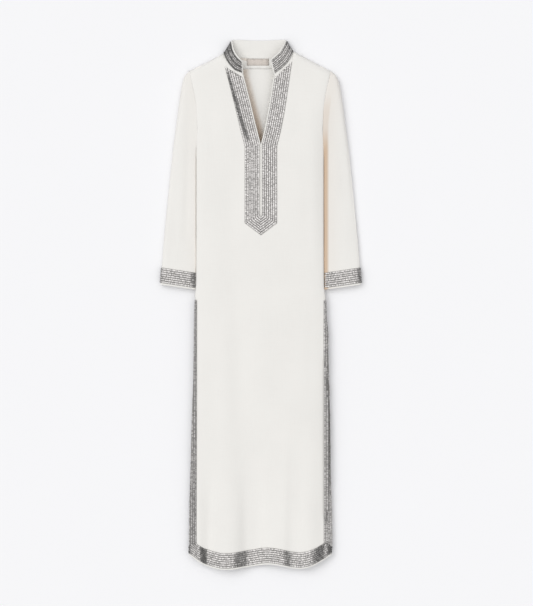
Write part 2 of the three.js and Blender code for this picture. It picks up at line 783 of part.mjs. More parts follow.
// One row round a flattened sleeve, from its upper inner side over the top, round and back below.
// An open row has its two inner edges at the armhole seam, and any other meets itself there.
function sleeveRow(side, { inX, inY, inZ, outX, outY, top, lift, open }) {
  const width = Math.hypot(outX - inX, outY - inY);
  const inner = Math.min(SLEEVE_INNER, width * SLEEVE_SHARES.inner);
  const outer = Math.min(SLEEVE_ROLL, width * SLEEVE_SHARES.roll);
  const under = Math.min(SLEEVE_UNDER, width * SLEEVE_SHARES.under);
  const flat = width - inner - outer;
  const outZ = lift + SLEEVE_MIDDLE * (top - lift);
  const seamZ = open ? inZ : lift + SLEEVE_SEAM_Z;
  const fallen = (t) => Math.sqrt(1 - t * t);
  const over = SLEEVE_STEPS.inner.map((t) => [t * inner, seamZ + (top - seamZ) * rounded(t)]);
  over.push([inner + flat / 3, top], [inner + (flat * 2) / 3, top]);
  for (const t of SLEEVE_STEPS.outer) {
    over.push([width - outer * (1 - t), outZ + (top - outZ) * fallen(t)]);
  }
  const below = [];
  for (const t of SLEEVE_STEPS.under) {
    below.push([width - under * (1 - t), lift + (outZ - lift) * (1 - fallen(t))]);
  }
  below.push([width - under, lift], [inner + flat / 2, lift], [inner, lift]);
  for (const t of SLEEVE_STEPS.tuck) {
    const rise = open ? 0 : (seamZ - lift) * (1 - rounded(t / SLEEVE_TUCK));
    below.push([t * inner + (open ? (1 - t) * ARMHOLE_TUCK : 0), lift + rise]);
  }
  return [...over, ...below].map(([w, z]) => {
    const t = w / width;
    const x = side * THREE.MathUtils.lerp(inX, outX, t);
    const lean = THREE.MathUtils.clamp((w - inner) / SLEEVE_LEAN_OVER, 0, 1);
    return knot(x + SLEEVE_MIDDLE_X * lean, THREE.MathUtils.lerp(inY, outY, t), z);
  });
}

function sleeve(side, armholeEdge) {
  const cap = CAP_ROWS.map((row, i) => {
    const edge = armholeEdge[i + 1].p;
    const [inX, inY, inZ] = [Math.abs(edge.x) + SEAM_GAP, edge.y, edge.z];
    return sleeveRow(side, { ...row, inX, inY, inZ, lift: 0, open: true });
  });
  const tube = SLEEVE_ROWS.map((row) => sleeveRow(side, { inZ: SLEEVE_INNER_Z, ...row }));
  cap.forEach((row) => (row[0].n = UP));
  const rows = [...cap.toReversed(), ...tube];
  return { tube, faces: join([{ rows, flip: side < 0 }]) };
}

function cuffBand(tube) {
  const loopAt = (share) => tube[0].map((_, c) => gridAt(tube, CUFF_TOP_ROW + 1 - share, c));
  return strip(loopAt, { ...BEADED, closed: true });
}

// The back panel

function backEdge(y) {
  const level = Math.max(y, SLIT_TOP_Y);
  const edge = frontPoint(1, read(CUT, "y", "half", level), level);
  return edge.p.x - SEAM_GAP + BACK_FLARE * (level - y);
}

function backUnder(side, x, y) {
  const { share, seamZ } = shoulderAt(side, x, y);
  const shoulder = (seamZ - SEAM_GAP / 2) * (1 - rounded(share));
  const neckY = read(BACK_NECK[side].toReversed(), "away", "y", Math.abs(x));
  const neck = BACK_NECK_Z * THREE.MathUtils.clamp(1 - (neckY - y) / BACK_NECK_FALL, 0, 1) ** 2;
  return Math.max(shoulder, Math.abs(x) < Math.abs(BACK_NECK[side][0].x) ? neck : 0);
}

// Half a row of the back, from its edge to the centre line. It is lifted where a band lies below it.
function backHalf(side, row, banded) {
  const columns = BACK_EDGE_COLUMNS.length;
  const edge = backEdge(row.y);
  const field = edge - BACK_EDGE_COLUMNS.at(-1);
  const beside = THREE.MathUtils.clamp((BACK_LIFT_FROM_Y - row.y) / (BACK_LIFT_FROM_Y - SLIT_TOP_Y), 0, 1);
  return steps(columns + BACK_FIELD_COLUMNS, (i) => {
    const inField = field * (1 - (i - columns + 1) / BACK_FIELD_COLUMNS);
    const x = i < columns ? edge - BACK_EDGE_COLUMNS[i] : inField;
    const hem = read(HEM, "across", "y", side * x) - HEM_MIDDLE_Y + BACK_HEM_RISE;
    const lift = BACK_LIFT * (banded ? 1 : i < columns - 1 ? beside : 0);
    return knot(side * x, row.y + row.follow * hem, lift);
  });
}

function backPanel() {
  const rows = FRONT_ROWS.map((row, r) => {
    const banded = r >= BAND_TOP_ROW;
    return [...backHalf(-1, row, banded), ...backHalf(1, row, banded).toReversed().slice(1)];
  });
  const middle = (rows[0].length - 1) / 2;
  const halves = { "-1": rows[0].slice(0, middle + 1), 1: rows[0].slice(middle).toReversed() };
  const yokes = [-1, 1].map((side) => {
    const neck = BACK_NECK[side].map(({ x, y }) => outOfNeck(x, y, SEAM_GAP));
    const top = [...NECKLINE[side].top.slice(0, NECK_COLUMN + 1), ...neck];
    const [armholeX] = ARMHOLE[0];
    const underarm = [
      [backEdge(UNDERARM_Y), UNDERARM_Y],
      [armholeX - BACK_UNDERARM.x, UNDERARM_Y + BACK_UNDERARM.y],
    ];
    const armhole = [...underarm, ...ARMHOLE.slice(1)].map(([x, y]) => [side * x, y]);
    const centre = [[0, UNDERARM_Y], neck.at(-1)];
    const rowsUp = yoke(side, halves[side], top, armhole, centre, backUnder);
    seamTop(side, rowsUp, DOWN);
    return rowsUp.toReversed();
  });
  // Both halves meet at the middle, so the right one's middle points are the left one's.
  yokes[1].forEach((row, r) => (row[row.length - 1] = yokes[0][r].at(-1)));
  const faces = join([
    { rows, flip: true },
    { rows: yokes[0], flip: true },
    { rows: yokes[1], flip: false },
  ]);
  return { rows, faces };
}

// A plan point moved away from the middle of the neck
function outOfNeck(x, y, distance) {
  const way = new THREE.Vector2(x - NECK_MIDDLE.x, y - NECK_MIDDLE.y).normalize();
  return [x + way.x * distance, y + way.y * distance];
}

// The collar

function collarRows(front) {
  const station = (seam, { topX, topY, topZ }, normal) =>
    COLLAR_COLUMNS.map((share) => {
      const top = new THREE.Vector3(topX, topY, topZ);
      return { p: seam.clone().lerp(top, share), n: share === 0 ? normal : null };
    });
  const sideStations = (side) => {
    const edge = front.yokes[side].at(-1);
    const fronts = FRONT_COLLAR[side].map((top, i) => {
      const from = edge[NECK_COLUMN + i].p;
      const [x, y] = outOfNeck(from.x, from.y, -COLLAR_GAP);
      const z = i === 0 ? SHOULDER_Z.neck : from.z;
      return station(new THREE.Vector3(x, y, z), top, i === 0 ? shoulderNormal(side) : UP);
    });
    const backs = BACK_NECK[side].map((row) => {
      const z = Math.max(BACK_NECK_Z, backUnder(side, row.x, row.y));
      return station(new THREE.Vector3(row.x, row.y, z), row, DOWN);
    });
    return [...fronts.toReversed(), ...backs];
  };
  return [...sideStations(1), ...sideStations(-1).toReversed().slice(1)];
}

function collarBand(rows) {
  const laneAt = (share) => {
    const run = rows.map((_, r) => gridAt(rows, r, 1 + share * BAND_ROWS));
    return trimmed(trimmed(run, COLLAR_END).toReversed(), COLLAR_END).toReversed();
  };
  return strip(laneAt, BEADED);
}

// Pieces that lie on the inside of the back
function onBack({ left, right, bottom, top, thick }, columns, rows, below) {
  const grid = steps(rows + 1, (r) =>
    steps(columns + 1, (c) => {
      const x = THREE.MathUtils.lerp(left, right, c / columns);
      const y = THREE.MathUtils.lerp(top, bottom, r / rows);
      const base = backUnder(x < 0 ? -1 : 1, x, y) + CLOTH + LAID_GAP + below;
      return knot(x, y, base + thick, UP);
    }),
  );
  return wall(join([{ rows: grid, flip: false }]), thick);
}

// Assembly

function piece(name, geometry, look) {
  const material = new THREE.MeshStandardMaterial({ ...COLOURS[look], side: THREE.DoubleSide });
  const mesh = new THREE.Mesh(geometry, material);
  mesh.name = name;
  return mesh;
}

const SIDES = [
  [-1, "left"],
  [1, "right"],
];

function kaftan() {
  const group = new THREE.Group();
  const front = frontPanel();
  const back = backPanel();
  const collar = collarRows(front);
  const collarFaces = join([{ rows: collar, flip: false }]);
  const add = (name, geometry, look) => group.add(piece(name, geometry, look));

  add("front_panel", wall(front.faces, CLOTH), "cloth");
  add("back_panel", wall(back.faces, CLOTH), "cloth");
  add("collar", wall(collarFaces, COLLAR_CLOTH), "cloth");
  add("collar_trim", collarBand(collar), "beads");
  add("neck_facing", onBack(FACING, FACING.columns, FACING.rows, 0), "cloth");
  add("neck_label", onBack(LABEL, 3, 2, FACING.thick + BAND_GAP), "label");

  const frontColumn = (share) => 1 + share * BAND_ROWS;
  const backColumn = (share) => 1 + share;
  add("front_hem_trim", strip((f) => hemLane(front.rows, f, frontColumn, BAND_TOP_ROW), BEADED), "beads");
  add("back_hem_trim", strip((f) => hemLane(back.rows, f, backColumn, BAND_TOP_ROW), PLAIN), "beads");
  for (const [side, word] of SIDES) {
    const lane = (grid, column) => (f) => slitLane(grid, side, f, column, SLIT_TOP_ROW, BAND_TOP_ROW);
    const arm = sleeve(side, front.yokes[side].map((row) => row[0]));
    add("sleeve_" + word, wall(arm.faces, CLOTH), "cloth");
    add("cuff_trim_" + word, cuffBand(arm.tube), "beads");
    add("placket_trim_" + word, placketBand(side), "beads");
    add("placket_piping_" + word, piping(side), "cloth");
    add("front_slit_trim_" + word, strip(lane(front.rows, frontColumn), BEADED), "beads");
    add("back_slit_trim_" + word, strip(lane(back.rows, backColumn), PLAIN), "beads");
  }
  return centred(group);
}

// The group with its origin below the middle of its bounding box
function centred(group) {
  const box = new THREE.Box3().setFromObject(group);
  const middle = box.getCenter(new THREE.Vector3());
  for (const mesh of group.children) mesh.geometry.translate(-middle.x, -middle.y, -box.min.z);
  return group;
}

export default kaftan();
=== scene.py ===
# A long kaftan laid flat and face up: its cloth, beaded bands, pipings, stitches and label, made
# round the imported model. Lengths are metres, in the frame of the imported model.
import json
import math

import bmesh
import bpy
from bpy.props import FloatProperty, FloatVectorProperty, IntProperty, PointerProperty
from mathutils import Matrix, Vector
from mathutils.bvhtree import BVHTree

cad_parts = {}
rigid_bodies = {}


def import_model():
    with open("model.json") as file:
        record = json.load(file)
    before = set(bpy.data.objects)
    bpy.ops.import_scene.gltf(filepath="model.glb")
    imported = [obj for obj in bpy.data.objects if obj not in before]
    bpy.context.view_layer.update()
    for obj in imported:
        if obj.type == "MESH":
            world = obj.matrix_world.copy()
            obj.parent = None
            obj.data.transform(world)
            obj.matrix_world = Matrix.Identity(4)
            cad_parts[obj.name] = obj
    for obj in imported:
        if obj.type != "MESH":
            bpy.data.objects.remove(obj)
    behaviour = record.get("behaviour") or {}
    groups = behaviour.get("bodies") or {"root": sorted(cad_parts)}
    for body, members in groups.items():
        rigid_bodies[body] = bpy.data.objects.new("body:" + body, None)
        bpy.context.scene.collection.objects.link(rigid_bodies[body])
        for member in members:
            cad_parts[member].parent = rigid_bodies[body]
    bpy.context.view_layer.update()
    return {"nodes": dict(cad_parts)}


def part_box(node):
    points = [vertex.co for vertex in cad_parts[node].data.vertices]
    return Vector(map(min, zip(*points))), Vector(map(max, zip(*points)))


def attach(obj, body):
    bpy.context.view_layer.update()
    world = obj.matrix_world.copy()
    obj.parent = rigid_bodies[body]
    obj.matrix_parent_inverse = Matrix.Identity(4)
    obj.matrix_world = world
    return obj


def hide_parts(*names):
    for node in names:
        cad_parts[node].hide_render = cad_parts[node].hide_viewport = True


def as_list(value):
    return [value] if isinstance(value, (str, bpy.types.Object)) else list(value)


bl_info = {
    "name": "Laid kaftan",
    "version": (1, 0, 0),
    "blender": (4, 5, 0),
    "location": "3D View > Sidebar > Kaftan",
    "description": "Makes the cloth, beads, stitches and stage of a kaftan laid flat",
    "category": "Object",
}

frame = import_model()
NODES = frame["nodes"]

MM = 0.001
WELD = 0.01 * MM
# How far over a cloth's surface a search for its finished surface starts
REACH = 4 * MM
# The least height of a bead row's ridge above the cloth, and the bend of its edge
RIDGE_HEIGHT = 1.3 * MM
RIDGE_BEND = (math.radians(16), math.radians(150))
LANE_STEP = 4 * MM
# The longest edge of a strip that is laid on the cloth
LAID_EDGE = 14 * MM
# Each row of beads starts at a different place, by this share of a step more than the last
GOLDEN = 0.618
# The top of a back band's underside, and the least turn at a corner of its outline
UNDERSIDE = 0.4 * MM
TURN = math.radians(30)
# Edges that bend more than this keep their corner when the cloth is rounded
CORNER = math.radians(55)
# The widest seam that is drawn together, and what is left of it
SEAM = 0.8 * MM
SEAM_LEFT = 0.04 * MM
# What lies underneath is pressed flat at this level
PRESSED = 0.05 * MM


# Sizes and colours


class KAFTAN_PG_cloth(bpy.types.PropertyGroup):
    colour: FloatVectorProperty(
        name="Cloth colour", description="Off-white of the cloth", subtype="COLOR", default=(0.83, 0.815, 0.785)
    )
    # Painted shade: a warm colour painted inside the neck and down the sleeves' inner sides, standing for their shadow
    shade: FloatVectorProperty(
        name="Inner colour",
        description="Warmer tone inside the neck and down the sleeves' inner sides",
        subtype="COLOR",
        default=(0.6, 0.455, 0.335),
    )
    thread: FloatProperty(
        name="Thread", description="Distance from thread to thread of the weave", unit="LENGTH", default=0.62 * MM
    )
    crease: FloatProperty(name="Creases", description="Depth of the creases, as a share", default=1.0)


class KAFTAN_PG_beads(bpy.types.PropertyGroup):
    light: FloatVectorProperty(
        name="Light beads", description="Colour of the lightest beads", subtype="COLOR", default=(0.9, 0.875, 0.86)
    )
    dark: FloatVectorProperty(
        name="Dark beads", description="Colour of the darkest beads", subtype="COLOR", default=(0.62, 0.6, 0.587)
    )
    # Painted shade and painted reflection: the colour of beads that stand for the dark of the room
    painted_shade_and_reflection: FloatVectorProperty(
        name="Shaded beads",
        description="Colour of beads that mirror the dark of the room",
        subtype="COLOR",
        default=(0.13, 0.127, 0.125),
    )
    # Dark in part its own colour and in part painted shade between the rows of beads
    backing: FloatVectorProperty(
        name="Backing", description="Colour of the strip under the beads", subtype="COLOR", default=(0.17, 0.165, 0.16)
    )
    length: FloatProperty(name="Length", description="Length of a bead", unit="LENGTH", default=3.0 * MM)
    width: FloatProperty(name="Width", description="Width of a bead", unit="LENGTH", default=4.7 * MM)
    height: FloatProperty(name="Height", description="Height of a bead", unit="LENGTH", default=2.0 * MM)
    spacing: FloatProperty(name="Spacing", description="From bead to bead", unit="LENGTH", default=2.8 * MM)
    seed: IntProperty(name="Seed", description="Seed of the beads' differences", default=7)


class KAFTAN_PG_stage(bpy.types.PropertyGroup):
    floor: FloatVectorProperty(
        name="Floor", description="Colour of the floor", subtype="COLOR", default=(0.9, 0.9, 0.915)
    )
    key: FloatProperty(name="Key light", description="Strength of the light from the upper left", default=0.8)
    fill: FloatProperty(name="Fill light", description="Strength of the light from overhead", default=0.96)
    height: FloatProperty(name="Camera height", description="Height of the camera", unit="LENGTH", default=9.0)


# Materials


class Wire:
    """A value in a material. Arithmetic on it adds Math nodes."""

    def __init__(self, finish, socket):
        self.finish = finish
        self.socket = socket

    def maths(self, operation, *values):
        return self.finish.maths(operation, *values)

    def __add__(self, other):
        return self.maths("ADD", self, other)

    def __sub__(self, other):
        return self.maths("SUBTRACT", self, other)

    def __rsub__(self, other):
        return self.maths("SUBTRACT", other, self)

    def __mul__(self, other):
        return self.maths("MULTIPLY", self, other)

    def __pow__(self, other):
        return self.maths("POWER", self, other)

    def __abs__(self):
        return self.maths("ABSOLUTE", self)

    __radd__ = __add__
    __rmul__ = __mul__

    def sine(self):
        return self.maths("SINE", self)

    def above(self, low, high):
        """0 below low and 1 above high, with a smooth step between them."""
        return self.finish.add(
            "ShaderNodeMapRange", {"interpolation_type": "SMOOTHSTEP"}, {0: self, 1: low, 2: high, 3: 0.0, 4: 1.0}
        )


class Finish:
    """A material and the nodes added to it."""

    def __init__(self, name, **fixed):
        self.material = bpy.data.materials.new(name)
        self.material.use_nodes = True
        self.tree = self.material.node_tree
        self.shader = self.tree.nodes["Principled BSDF"]
        for socket, value in fixed.items():
            self.shader.inputs[socket.replace("_", " ")].default_value = value
        self.place = self.add("ShaderNodeTexCoord", {}, {}, out="Object")

    def add(self, kind, settings, inputs, out=0):
        node = self.tree.nodes.new(kind)
        for name, value in settings.items():
            setattr(node, name, value)
        for name, value in inputs.items():
            self.set(node.inputs[name], value)
        return Wire(self, node.outputs[out])

    def set(self, socket, value):
        if isinstance(value, Wire):
            self.tree.links.new(value.socket, socket)
        else:
            socket.default_value = value

    def maths(self, operation, *values):
        return self.add("ShaderNodeMath", {"operation": operation}, dict(enumerate(values)))

    def feed(self, name, value):
        self.set(self.shader.inputs[name], value)

    def attribute(self, name, out="Fac"):
        return self.add("ShaderNodeAttribute", {"attribute_name": name}, {}, out=out)

    def split(self, vector):
        parts = self.add("ShaderNodeSeparateXYZ", {}, {0: vector})
        return [Wire(self, out) for out in parts.socket.node.outputs]

    def axes(self):
        return self.split(self.place)

    def noise(self, scale, stretch=(1, 1, 1)):
        place = self.add("ShaderNodeMapping", {}, {"Vector": self.place, "Scale": stretch})
        return self.add("ShaderNodeTexNoise", {}, {"Vector": place, "Scale": scale, "Detail": 2.0})

    def mix(self, share, first, second):
        colours = {6: (*first, 1) if isinstance(first, tuple) else first}
        colours[7] = (*second, 1) if isinstance(second, tuple) else second
        return self.add("ShaderNodeMix", {"data_type": "RGBA"}, {0: share, **colours}, out=2)

    def bump(self, height, depth, strength):
        self.feed("Normal", self.add("ShaderNodeBump", {}, {"Height": height, "Distance": depth, "Strength": strength}))


def waves(value, pitch):
    """A wave that crosses zero at each pitch."""
    return (value * (math.pi / pitch)).sine()


def woven(finish, pitch):
    """The height of a plain weave: threads one way over and under those of the other way."""
    x, y, _ = finish.axes()
    warp, weft = waves(x, pitch), waves(y, pitch)
    over = (warp * weft).above(-0.2, 0.2)
    return abs(warp) * over + abs(weft) * (1 - over)


# Where the painted shade and painted light on the cloth lie. Each pair is where a tone begins to change and where it
# has changed.
MIDDLE = (-100 * MM, 100 * MM)
# The left edge of the open V: upright at this x down to this y, and then sloping to the middle
V_X = -44.5 * MM
V_Y = 612 * MM
V_SLOPE = 0.25
V_LEFT = (-14 * MM, -8 * MM)
V_RIGHT = (2 * MM, 19 * MM)
V_PALER = (440 * MM, 600 * MM)
V_BOTTOM = (415 * MM, 430 * MM)
V_TOP = (645 * MM, 665 * MM)
V_LEVEL = (0.5 * MM, 1 * MM)
# The sleeves' inner edges, which spread towards the shoulders, and the dip beside the right one, where shade is painted
INNER_X = 165.5 * MM
INNER_SPREAD = 20 * MM
INNER_UP = (420 * MM, 640 * MM)
INNER_NEAR = (0, 60 * MM)
INNER_LEVEL = (2 * MM, 4 * MM)
DIP_WIDTH = (8 * MM, 18 * MM)
DIP_PALER = (400 * MM, 480 * MM)
DIP_TOP = (500 * MM, 600 * MM)
# Where light is painted between the body and the sleeves
BETWEEN_IN = (155 * MM, 159 * MM)
BETWEEN_OUT = (172 * MM, 178 * MM)
BETWEEN_TOP = (11 * MM, 17 * MM)
BETWEEN_LEVEL = (1 * MM, 2 * MM)
BETWEEN_UP = (20 * MM, 60 * MM)
# The paler colour of the painted light
PAINTED_LIGHT_COLOUR = (0.97, 0.93, 0.88)


def right_side(finish):
    """0 down the left side and 1 down the right, with a smooth step between them."""
    return finish.axes()[0].above(*MIDDLE)


def neck_painted_shadow(finish):
    """Painted shadow on the cloth inside the neck, beside the left edge of the open V."""
    x, y, z = finish.axes()
    beside = x - V_X - finish.maths("MAXIMUM", V_Y - y, 0.0) * V_SLOPE
    strip = beside.above(*V_LEFT) * (1 - beside.above(*V_RIGHT))
    strength = 0.82 - y.above(*V_PALER) * 0.34
    return strip * strength * y.above(*V_BOTTOM) * (1 - y.above(*V_TOP)) * z.above(*V_LEVEL)


def sleeve_painted_shade(finish):
    """Painted shade down the sleeve's inner side. The right one dips deeply beside the body, where most shade is
    painted.
    """
    x, y, z = finish.axes()
    out = abs(x) - INNER_X - y.above(*INNER_UP) ** 1.5 * INNER_SPREAD
    upper = (1 - y.above(*DIP_PALER) * 0.6) * (1 - y.above(*DIP_TOP))
    dip = (1 - out.above(*DIP_WIDTH)) * upper * right_side(finish)
    near = (1 - out.above(*INNER_NEAR)) * (0.06 + right_side(finish) * 0.09)
    return finish.maths("MAXIMUM", dip, near) * z.above(*INNER_LEVEL)


def between(finish):
    """Painted light on the sides of the body and the sleeves that face each other, standing for light that comes
    through the cloth.
    """
    x, y, z = finish.axes()
    near = abs(x).above(*BETWEEN_IN) * (1 - abs(x).above(*BETWEEN_OUT))
    return near * (1 - z.above(*BETWEEN_TOP)) * z.above(*BETWEEN_LEVEL) * y.above(*BETWEEN_UP)


def painted_light_between_left(finish):
    """The same painted light, down the left side alone."""
    return between(finish) * (1 - right_side(finish))


def cloth_finish(name, painted_shade_mask=None, painted_light_mask=None):
    """Off-white cloth, with a warm painted shade and a paler painted light where their masks lie."""
    sizes = bpy.context.scene.kaftan_cloth
    finish = Finish(name, Roughness=0.9, Sheen_Weight=0.15, Specular_IOR_Level=0.25)
    slubs = finish.noise(900.0, (1.0, 0.03, 1.0)) + finish.noise(900.0, (0.03, 1.0, 1.0))
    cloudy = finish.noise(9.0)
    tone = (slubs - 0.7) * 0.1 + (cloudy - 0.4) * 0.15
    darker = tuple(c * 0.965 for c in sizes.colour)
    base = finish.mix(tone.above(0.0, 0.12), tuple(sizes.colour), darker)
    # Painted shade: the warm shade colour, mixed in by its mask
    if painted_shade_mask:
        base = finish.mix(painted_shade_mask(finish), base, tuple(sizes.shade))
    # Painted light: a paler colour, mixed in by its mask
    if painted_light_mask:
        base = finish.mix(painted_light_mask(finish), base, PAINTED_LIGHT_COLOUR)
    finish.feed("Base Color", base)
    finish.bump(woven(finish, sizes.thread) + slubs * 0.6, 0.0001, 0.25)
    return finish.material


# The hem's corners, where shade is painted on the beads, measured out from the middle and up from the hem
CORNER_OUT = (110 * MM, 165 * MM)
CORNER_UP = (-620 * MM, -560 * MM)
# Where painted shade and painted reflection make the bands darkest: on the collar's left side, beside its outer folds,
# and along a painted fold in the left placket. A line is the x and y of a point on it, and the shares of x and y away.
COLLAR_MIDDLE = (-60 * MM, 20 * MM)
LEFT_FOLD = (-99.8 * MM, 671.1 * MM, -0.768, 0.64)
LEFT_FOLD_WIDTH = (-22 * MM, -2 * MM)
RIGHT_FOLD = (83.9 * MM, 673.5 * MM, 0.833, 0.554)
RIGHT_FOLD_WIDTH = (-11 * MM, -2 * MM)
PLACKET_FOLD = (-91.5 * MM, 620 * MM, 1.0, 0.304)
PLACKET_FOLD_WIDTH = (2 * MM, 8.5 * MM)
PLACKET_FOLD_BOTTOM = (420 * MM, 450 * MM)
PLACKET_FOLD_TOP = (600 * MM, 640 * MM)


def away_from(finish, line):
    """How far a place lies from a line."""
    x, y, _ = finish.axes()
    line_x, line_y, share_x, share_y = line
    return (x - line_x) * share_x + (y - line_y) * share_y


def painted_tilt_shade(finish):
    """Painted shade and painted reflection: darker where the cloth turns from the light or steeply to either side, and
    at the hem's corners.
    """
    way = finish.attribute("way", "Vector")
    side = finish.split(way)[0]
    x, y, _ = finish.axes()
    corner = abs(x).above(*CORNER_OUT) * (1 - y.above(*CORNER_UP))
    return side.above(0.0, 0.3) * 0.7 + (0 - side).above(0.2, 0.8) * 0.6 + corner * 0.3


def slit_painted_shade(finish):
    """Painted shade on the slit bands: evenly dark, and less so down the right side."""
    return 0.52 - right_side(finish) * 0.14


def collar_painted_shade(finish):
    """Painted shade and painted reflection on the collar: darker in every other row, down the collar's left side, and
    most of all beside its outer folds.
    """
    right = finish.axes()[0].above(*COLLAR_MIDDLE)
    left = 1 - right
    left_fold = away_from(finish, LEFT_FOLD).above(*LEFT_FOLD_WIDTH)
    right_fold = away_from(finish, RIGHT_FOLD).above(*RIGHT_FOLD_WIDTH)
    odd = finish.attribute("odd")
    return odd * 0.5 - 0.03 + left * 0.5 + left_fold * left * 0.35 + right_fold * right * 0.55


def placket_painted_fold_shade(finish):
    """Painted shade of a fold down the left placket's band, just inside its outer border."""
    across = 1 - abs(away_from(finish, PLACKET_FOLD)).above(*PLACKET_FOLD_WIDTH)
    y = finish.axes()[1]
    return across * y.above(*PLACKET_FOLD_BOTTOM) * (1 - y.above(*PLACKET_FOLD_TOP)) * 0.8


def bead_finish(name, painted_dark_mask):
    """Silvery beads. Their mask paints shade and reflection on them, standing for the dark half of the room that they
    mirror.
    """
    sizes = bpy.context.scene.kaftan_beads
    finish = Finish(name, Metallic=0.75, Coat_Weight=0.15)
    tone = finish.attribute("tone")
    zone = finish.noise(28.0)
    share = (tone * 0.9 + zone * 0.4).above(0.1, 0.9)
    base = finish.mix(share, tuple(sizes.dark), tuple(sizes.light))
    # Painted shade and reflection, varied a little by each bead's random tone
    painted_shade_and_reflection = painted_dark_mask(finish) * (1.15 - tone * 0.4)
    finish.feed("Base Color", finish.mix(painted_shade_and_reflection.above(0.0, 1.0), base, tuple(sizes.painted_shade_and_reflection)))
    finish.feed("Roughness", 0.5 - share * 0.15)
    finish.bump(finish.noise(2600.0), 0.0001, 0.25)
    return finish.material


BACKING_WEAVE = 0.8 * MM
LABEL_COLOURS = ((0.66, 0.6, 0.55), (0.6, 0.54, 0.49))
LABEL_RIB = 0.45 * MM
LABEL_THREAD = 0.9 * MM
THREAD_COLOURS = ((0.68, 0.66, 0.63), (0.8, 0.79, 0.76))
TWIST = 0.5 * MM


def backing_finish():
    """The dark woven strip under the beads. Its dark is in part its own colour and in part painted shade between the
    rows.
    """
    sizes = bpy.context.scene.kaftan_beads
    finish = Finish("beaded backing", Roughness=0.75)
    grain = finish.noise(1500.0)
    lighter = tuple(c * 2.2 for c in sizes.backing)
    finish.feed("Base Color", finish.mix(grain.above(0.4, 0.75), tuple(sizes.backing), lighter))
    finish.bump(woven(finish, BACKING_WEAVE), 0.0002, 0.6)
    return finish.material


def label_finish():
    """A ribbed label with nothing on it."""
    finish = Finish("woven label", Roughness=0.6, Sheen_Weight=0.2)
    x, y, _ = finish.axes()
    finish.feed("Base Color", finish.mix(finish.noise(300.0).above(0.3, 0.8), *LABEL_COLOURS))
    finish.bump(abs(waves(y, LABEL_RIB)) + abs(waves(x, LABEL_THREAD)) * 0.4, 0.0001, 0.6)
    return finish.material


def thread_finish():
    """Twisted sewing thread."""
    finish = Finish("sewing thread", Roughness=0.6, Sheen_Weight=0.2)
    x, y, _ = finish.axes()
    twist = abs(waves(x + y, TWIST))
    finish.feed("Base Color", finish.mix(twist, *THREAD_COLOURS))
    finish.bump(twist, 0.0001, 0.5)
    return finish.material


# What makes each kind of material, its name, and the masks of its painted shade, reflection and light
MAKERS = {
    "cloth": (cloth_finish, "off-white cloth"),
    "back": (cloth_finish, "off-white cloth, back", neck_painted_shadow),
    "front": (cloth_finish, "off-white cloth, front", None, between),
    "sleeve": (cloth_finish, "off-white cloth, sleeves", sleeve_painted_shade, painted_light_between_left),
    "beads": (bead_finish, "silver beads", painted_tilt_shade),
    "collar beads": (bead_finish, "silver beads, collar", collar_painted_shade),
    "slit beads": (bead_finish, "silver beads, slits", slit_painted_shade),
    "placket beads": (bead_finish, "silver beads, left placket", placket_painted_fold_shade),
    "backing": (backing_finish,),
    "label": (label_finish,),
    "thread": (thread_finish,),
}
FINISHES = {}


def finish_of(kind):
    """The material of a kind, made when it is first asked for."""
    if kind not in FINISHES:
        make, *given = MAKERS[kind]
        FINISHES[kind] = make(*given)
    return FINISHES[kind]


# Meshes


def welded(node):
    """A copy of a node's mesh with its loose triangles joined."""
    bm = bmesh.new()
    bm.from_mesh(NODES[node].data)
    bmesh.ops.remove_doubles(bm, verts=bm.verts, dist=WELD)
    return bm


def placed(name, data):
    """A new object in the scene."""
    thing = bpy.data.objects.new(name, data)
    bpy.context.scene.collection.objects.link(thing)
    return thing


def linked(name, mesh, kind):
    """A smooth piece in one material, none of it below the level that it rests on."""
    for v in mesh.vertices:
        v.co.z = max(v.co.z, PRESSED)
    for face in mesh.polygons:
        face.use_smooth = True
    mesh.materials.clear()
    mesh.materials.append(finish_of(kind))
    return placed(name, mesh)


def baked(piece, name, kind):
    """The piece with its modifiers made part of its mesh."""
    seen = piece.evaluated_get(bpy.context.evaluated_depsgraph_get())
    mesh = bpy.data.meshes.new_from_object(seen)
    bpy.data.objects.remove(piece)
    mesh.name = name
    return linked(name, mesh, kind)


# How far triangles may bend and lean to be joined to squares, and how often these are then rounded
JOINED_BEND = math.radians(40)
JOINED_LEAN = math.radians(50)
ROUNDINGS = 2


def softened(node, name, kind="cloth"):
    """A node's form with rounded faces."""
    bm = welded(node)
    bmesh.ops.join_triangles(
        bm,
        faces=bm.faces,
        angle_face_threshold=JOINED_BEND,
        angle_shape_threshold=JOINED_LEAN,
    )
    kept = bm.edges.layers.float.new("crease_edge")
    for e in bm.edges:
        if e.calc_face_angle(0) > CORNER:
            e[kept] = 1.0
    mesh = bpy.data.meshes.new(name)
    bm.to_mesh(mesh)
    bm.free()
    piece = linked(name + "_rough", mesh, kind)
    rounding = piece.modifiers.new("rounding", "SUBSURF")
    rounding.levels = rounding.render_levels = ROUNDINGS
    return baked(piece, name, kind)


def hung(piece, node, slot):
    """The piece stands for a node and moves with the garment."""
    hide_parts(node)
    riding(piece, slot)


def riding(piece, slot):
    """The piece moves with the garment."""
    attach(piece, "root")


class Carrier:
    """Carries what lies on a node's cloth over to the finished cloth that stands for it."""

    def __init__(self, node, piece):
        self.before = BVHTree.FromBMesh(welded(node))
        self.after = BVHTree.FromObject(piece, bpy.context.evaluated_depsgraph_get())

    def height(self, point):
        return self.before.find_nearest(point)[3]

    def carried(self, point, height=None, share=1):
        """The point on the finished cloth, and the way out from the cloth there."""
        near, normal, _, distance = self.before.find_nearest(point)
        way = (point - near).normalized() if distance > WELD else normal
        hit, out, _, _ = self.after.ray_cast(near + way * REACH, -way, 2 * REACH)
        if hit is None:
            hit, out = near, way
        return hit + way * (distance * share if height is None else height), out


CARRIERS = {}
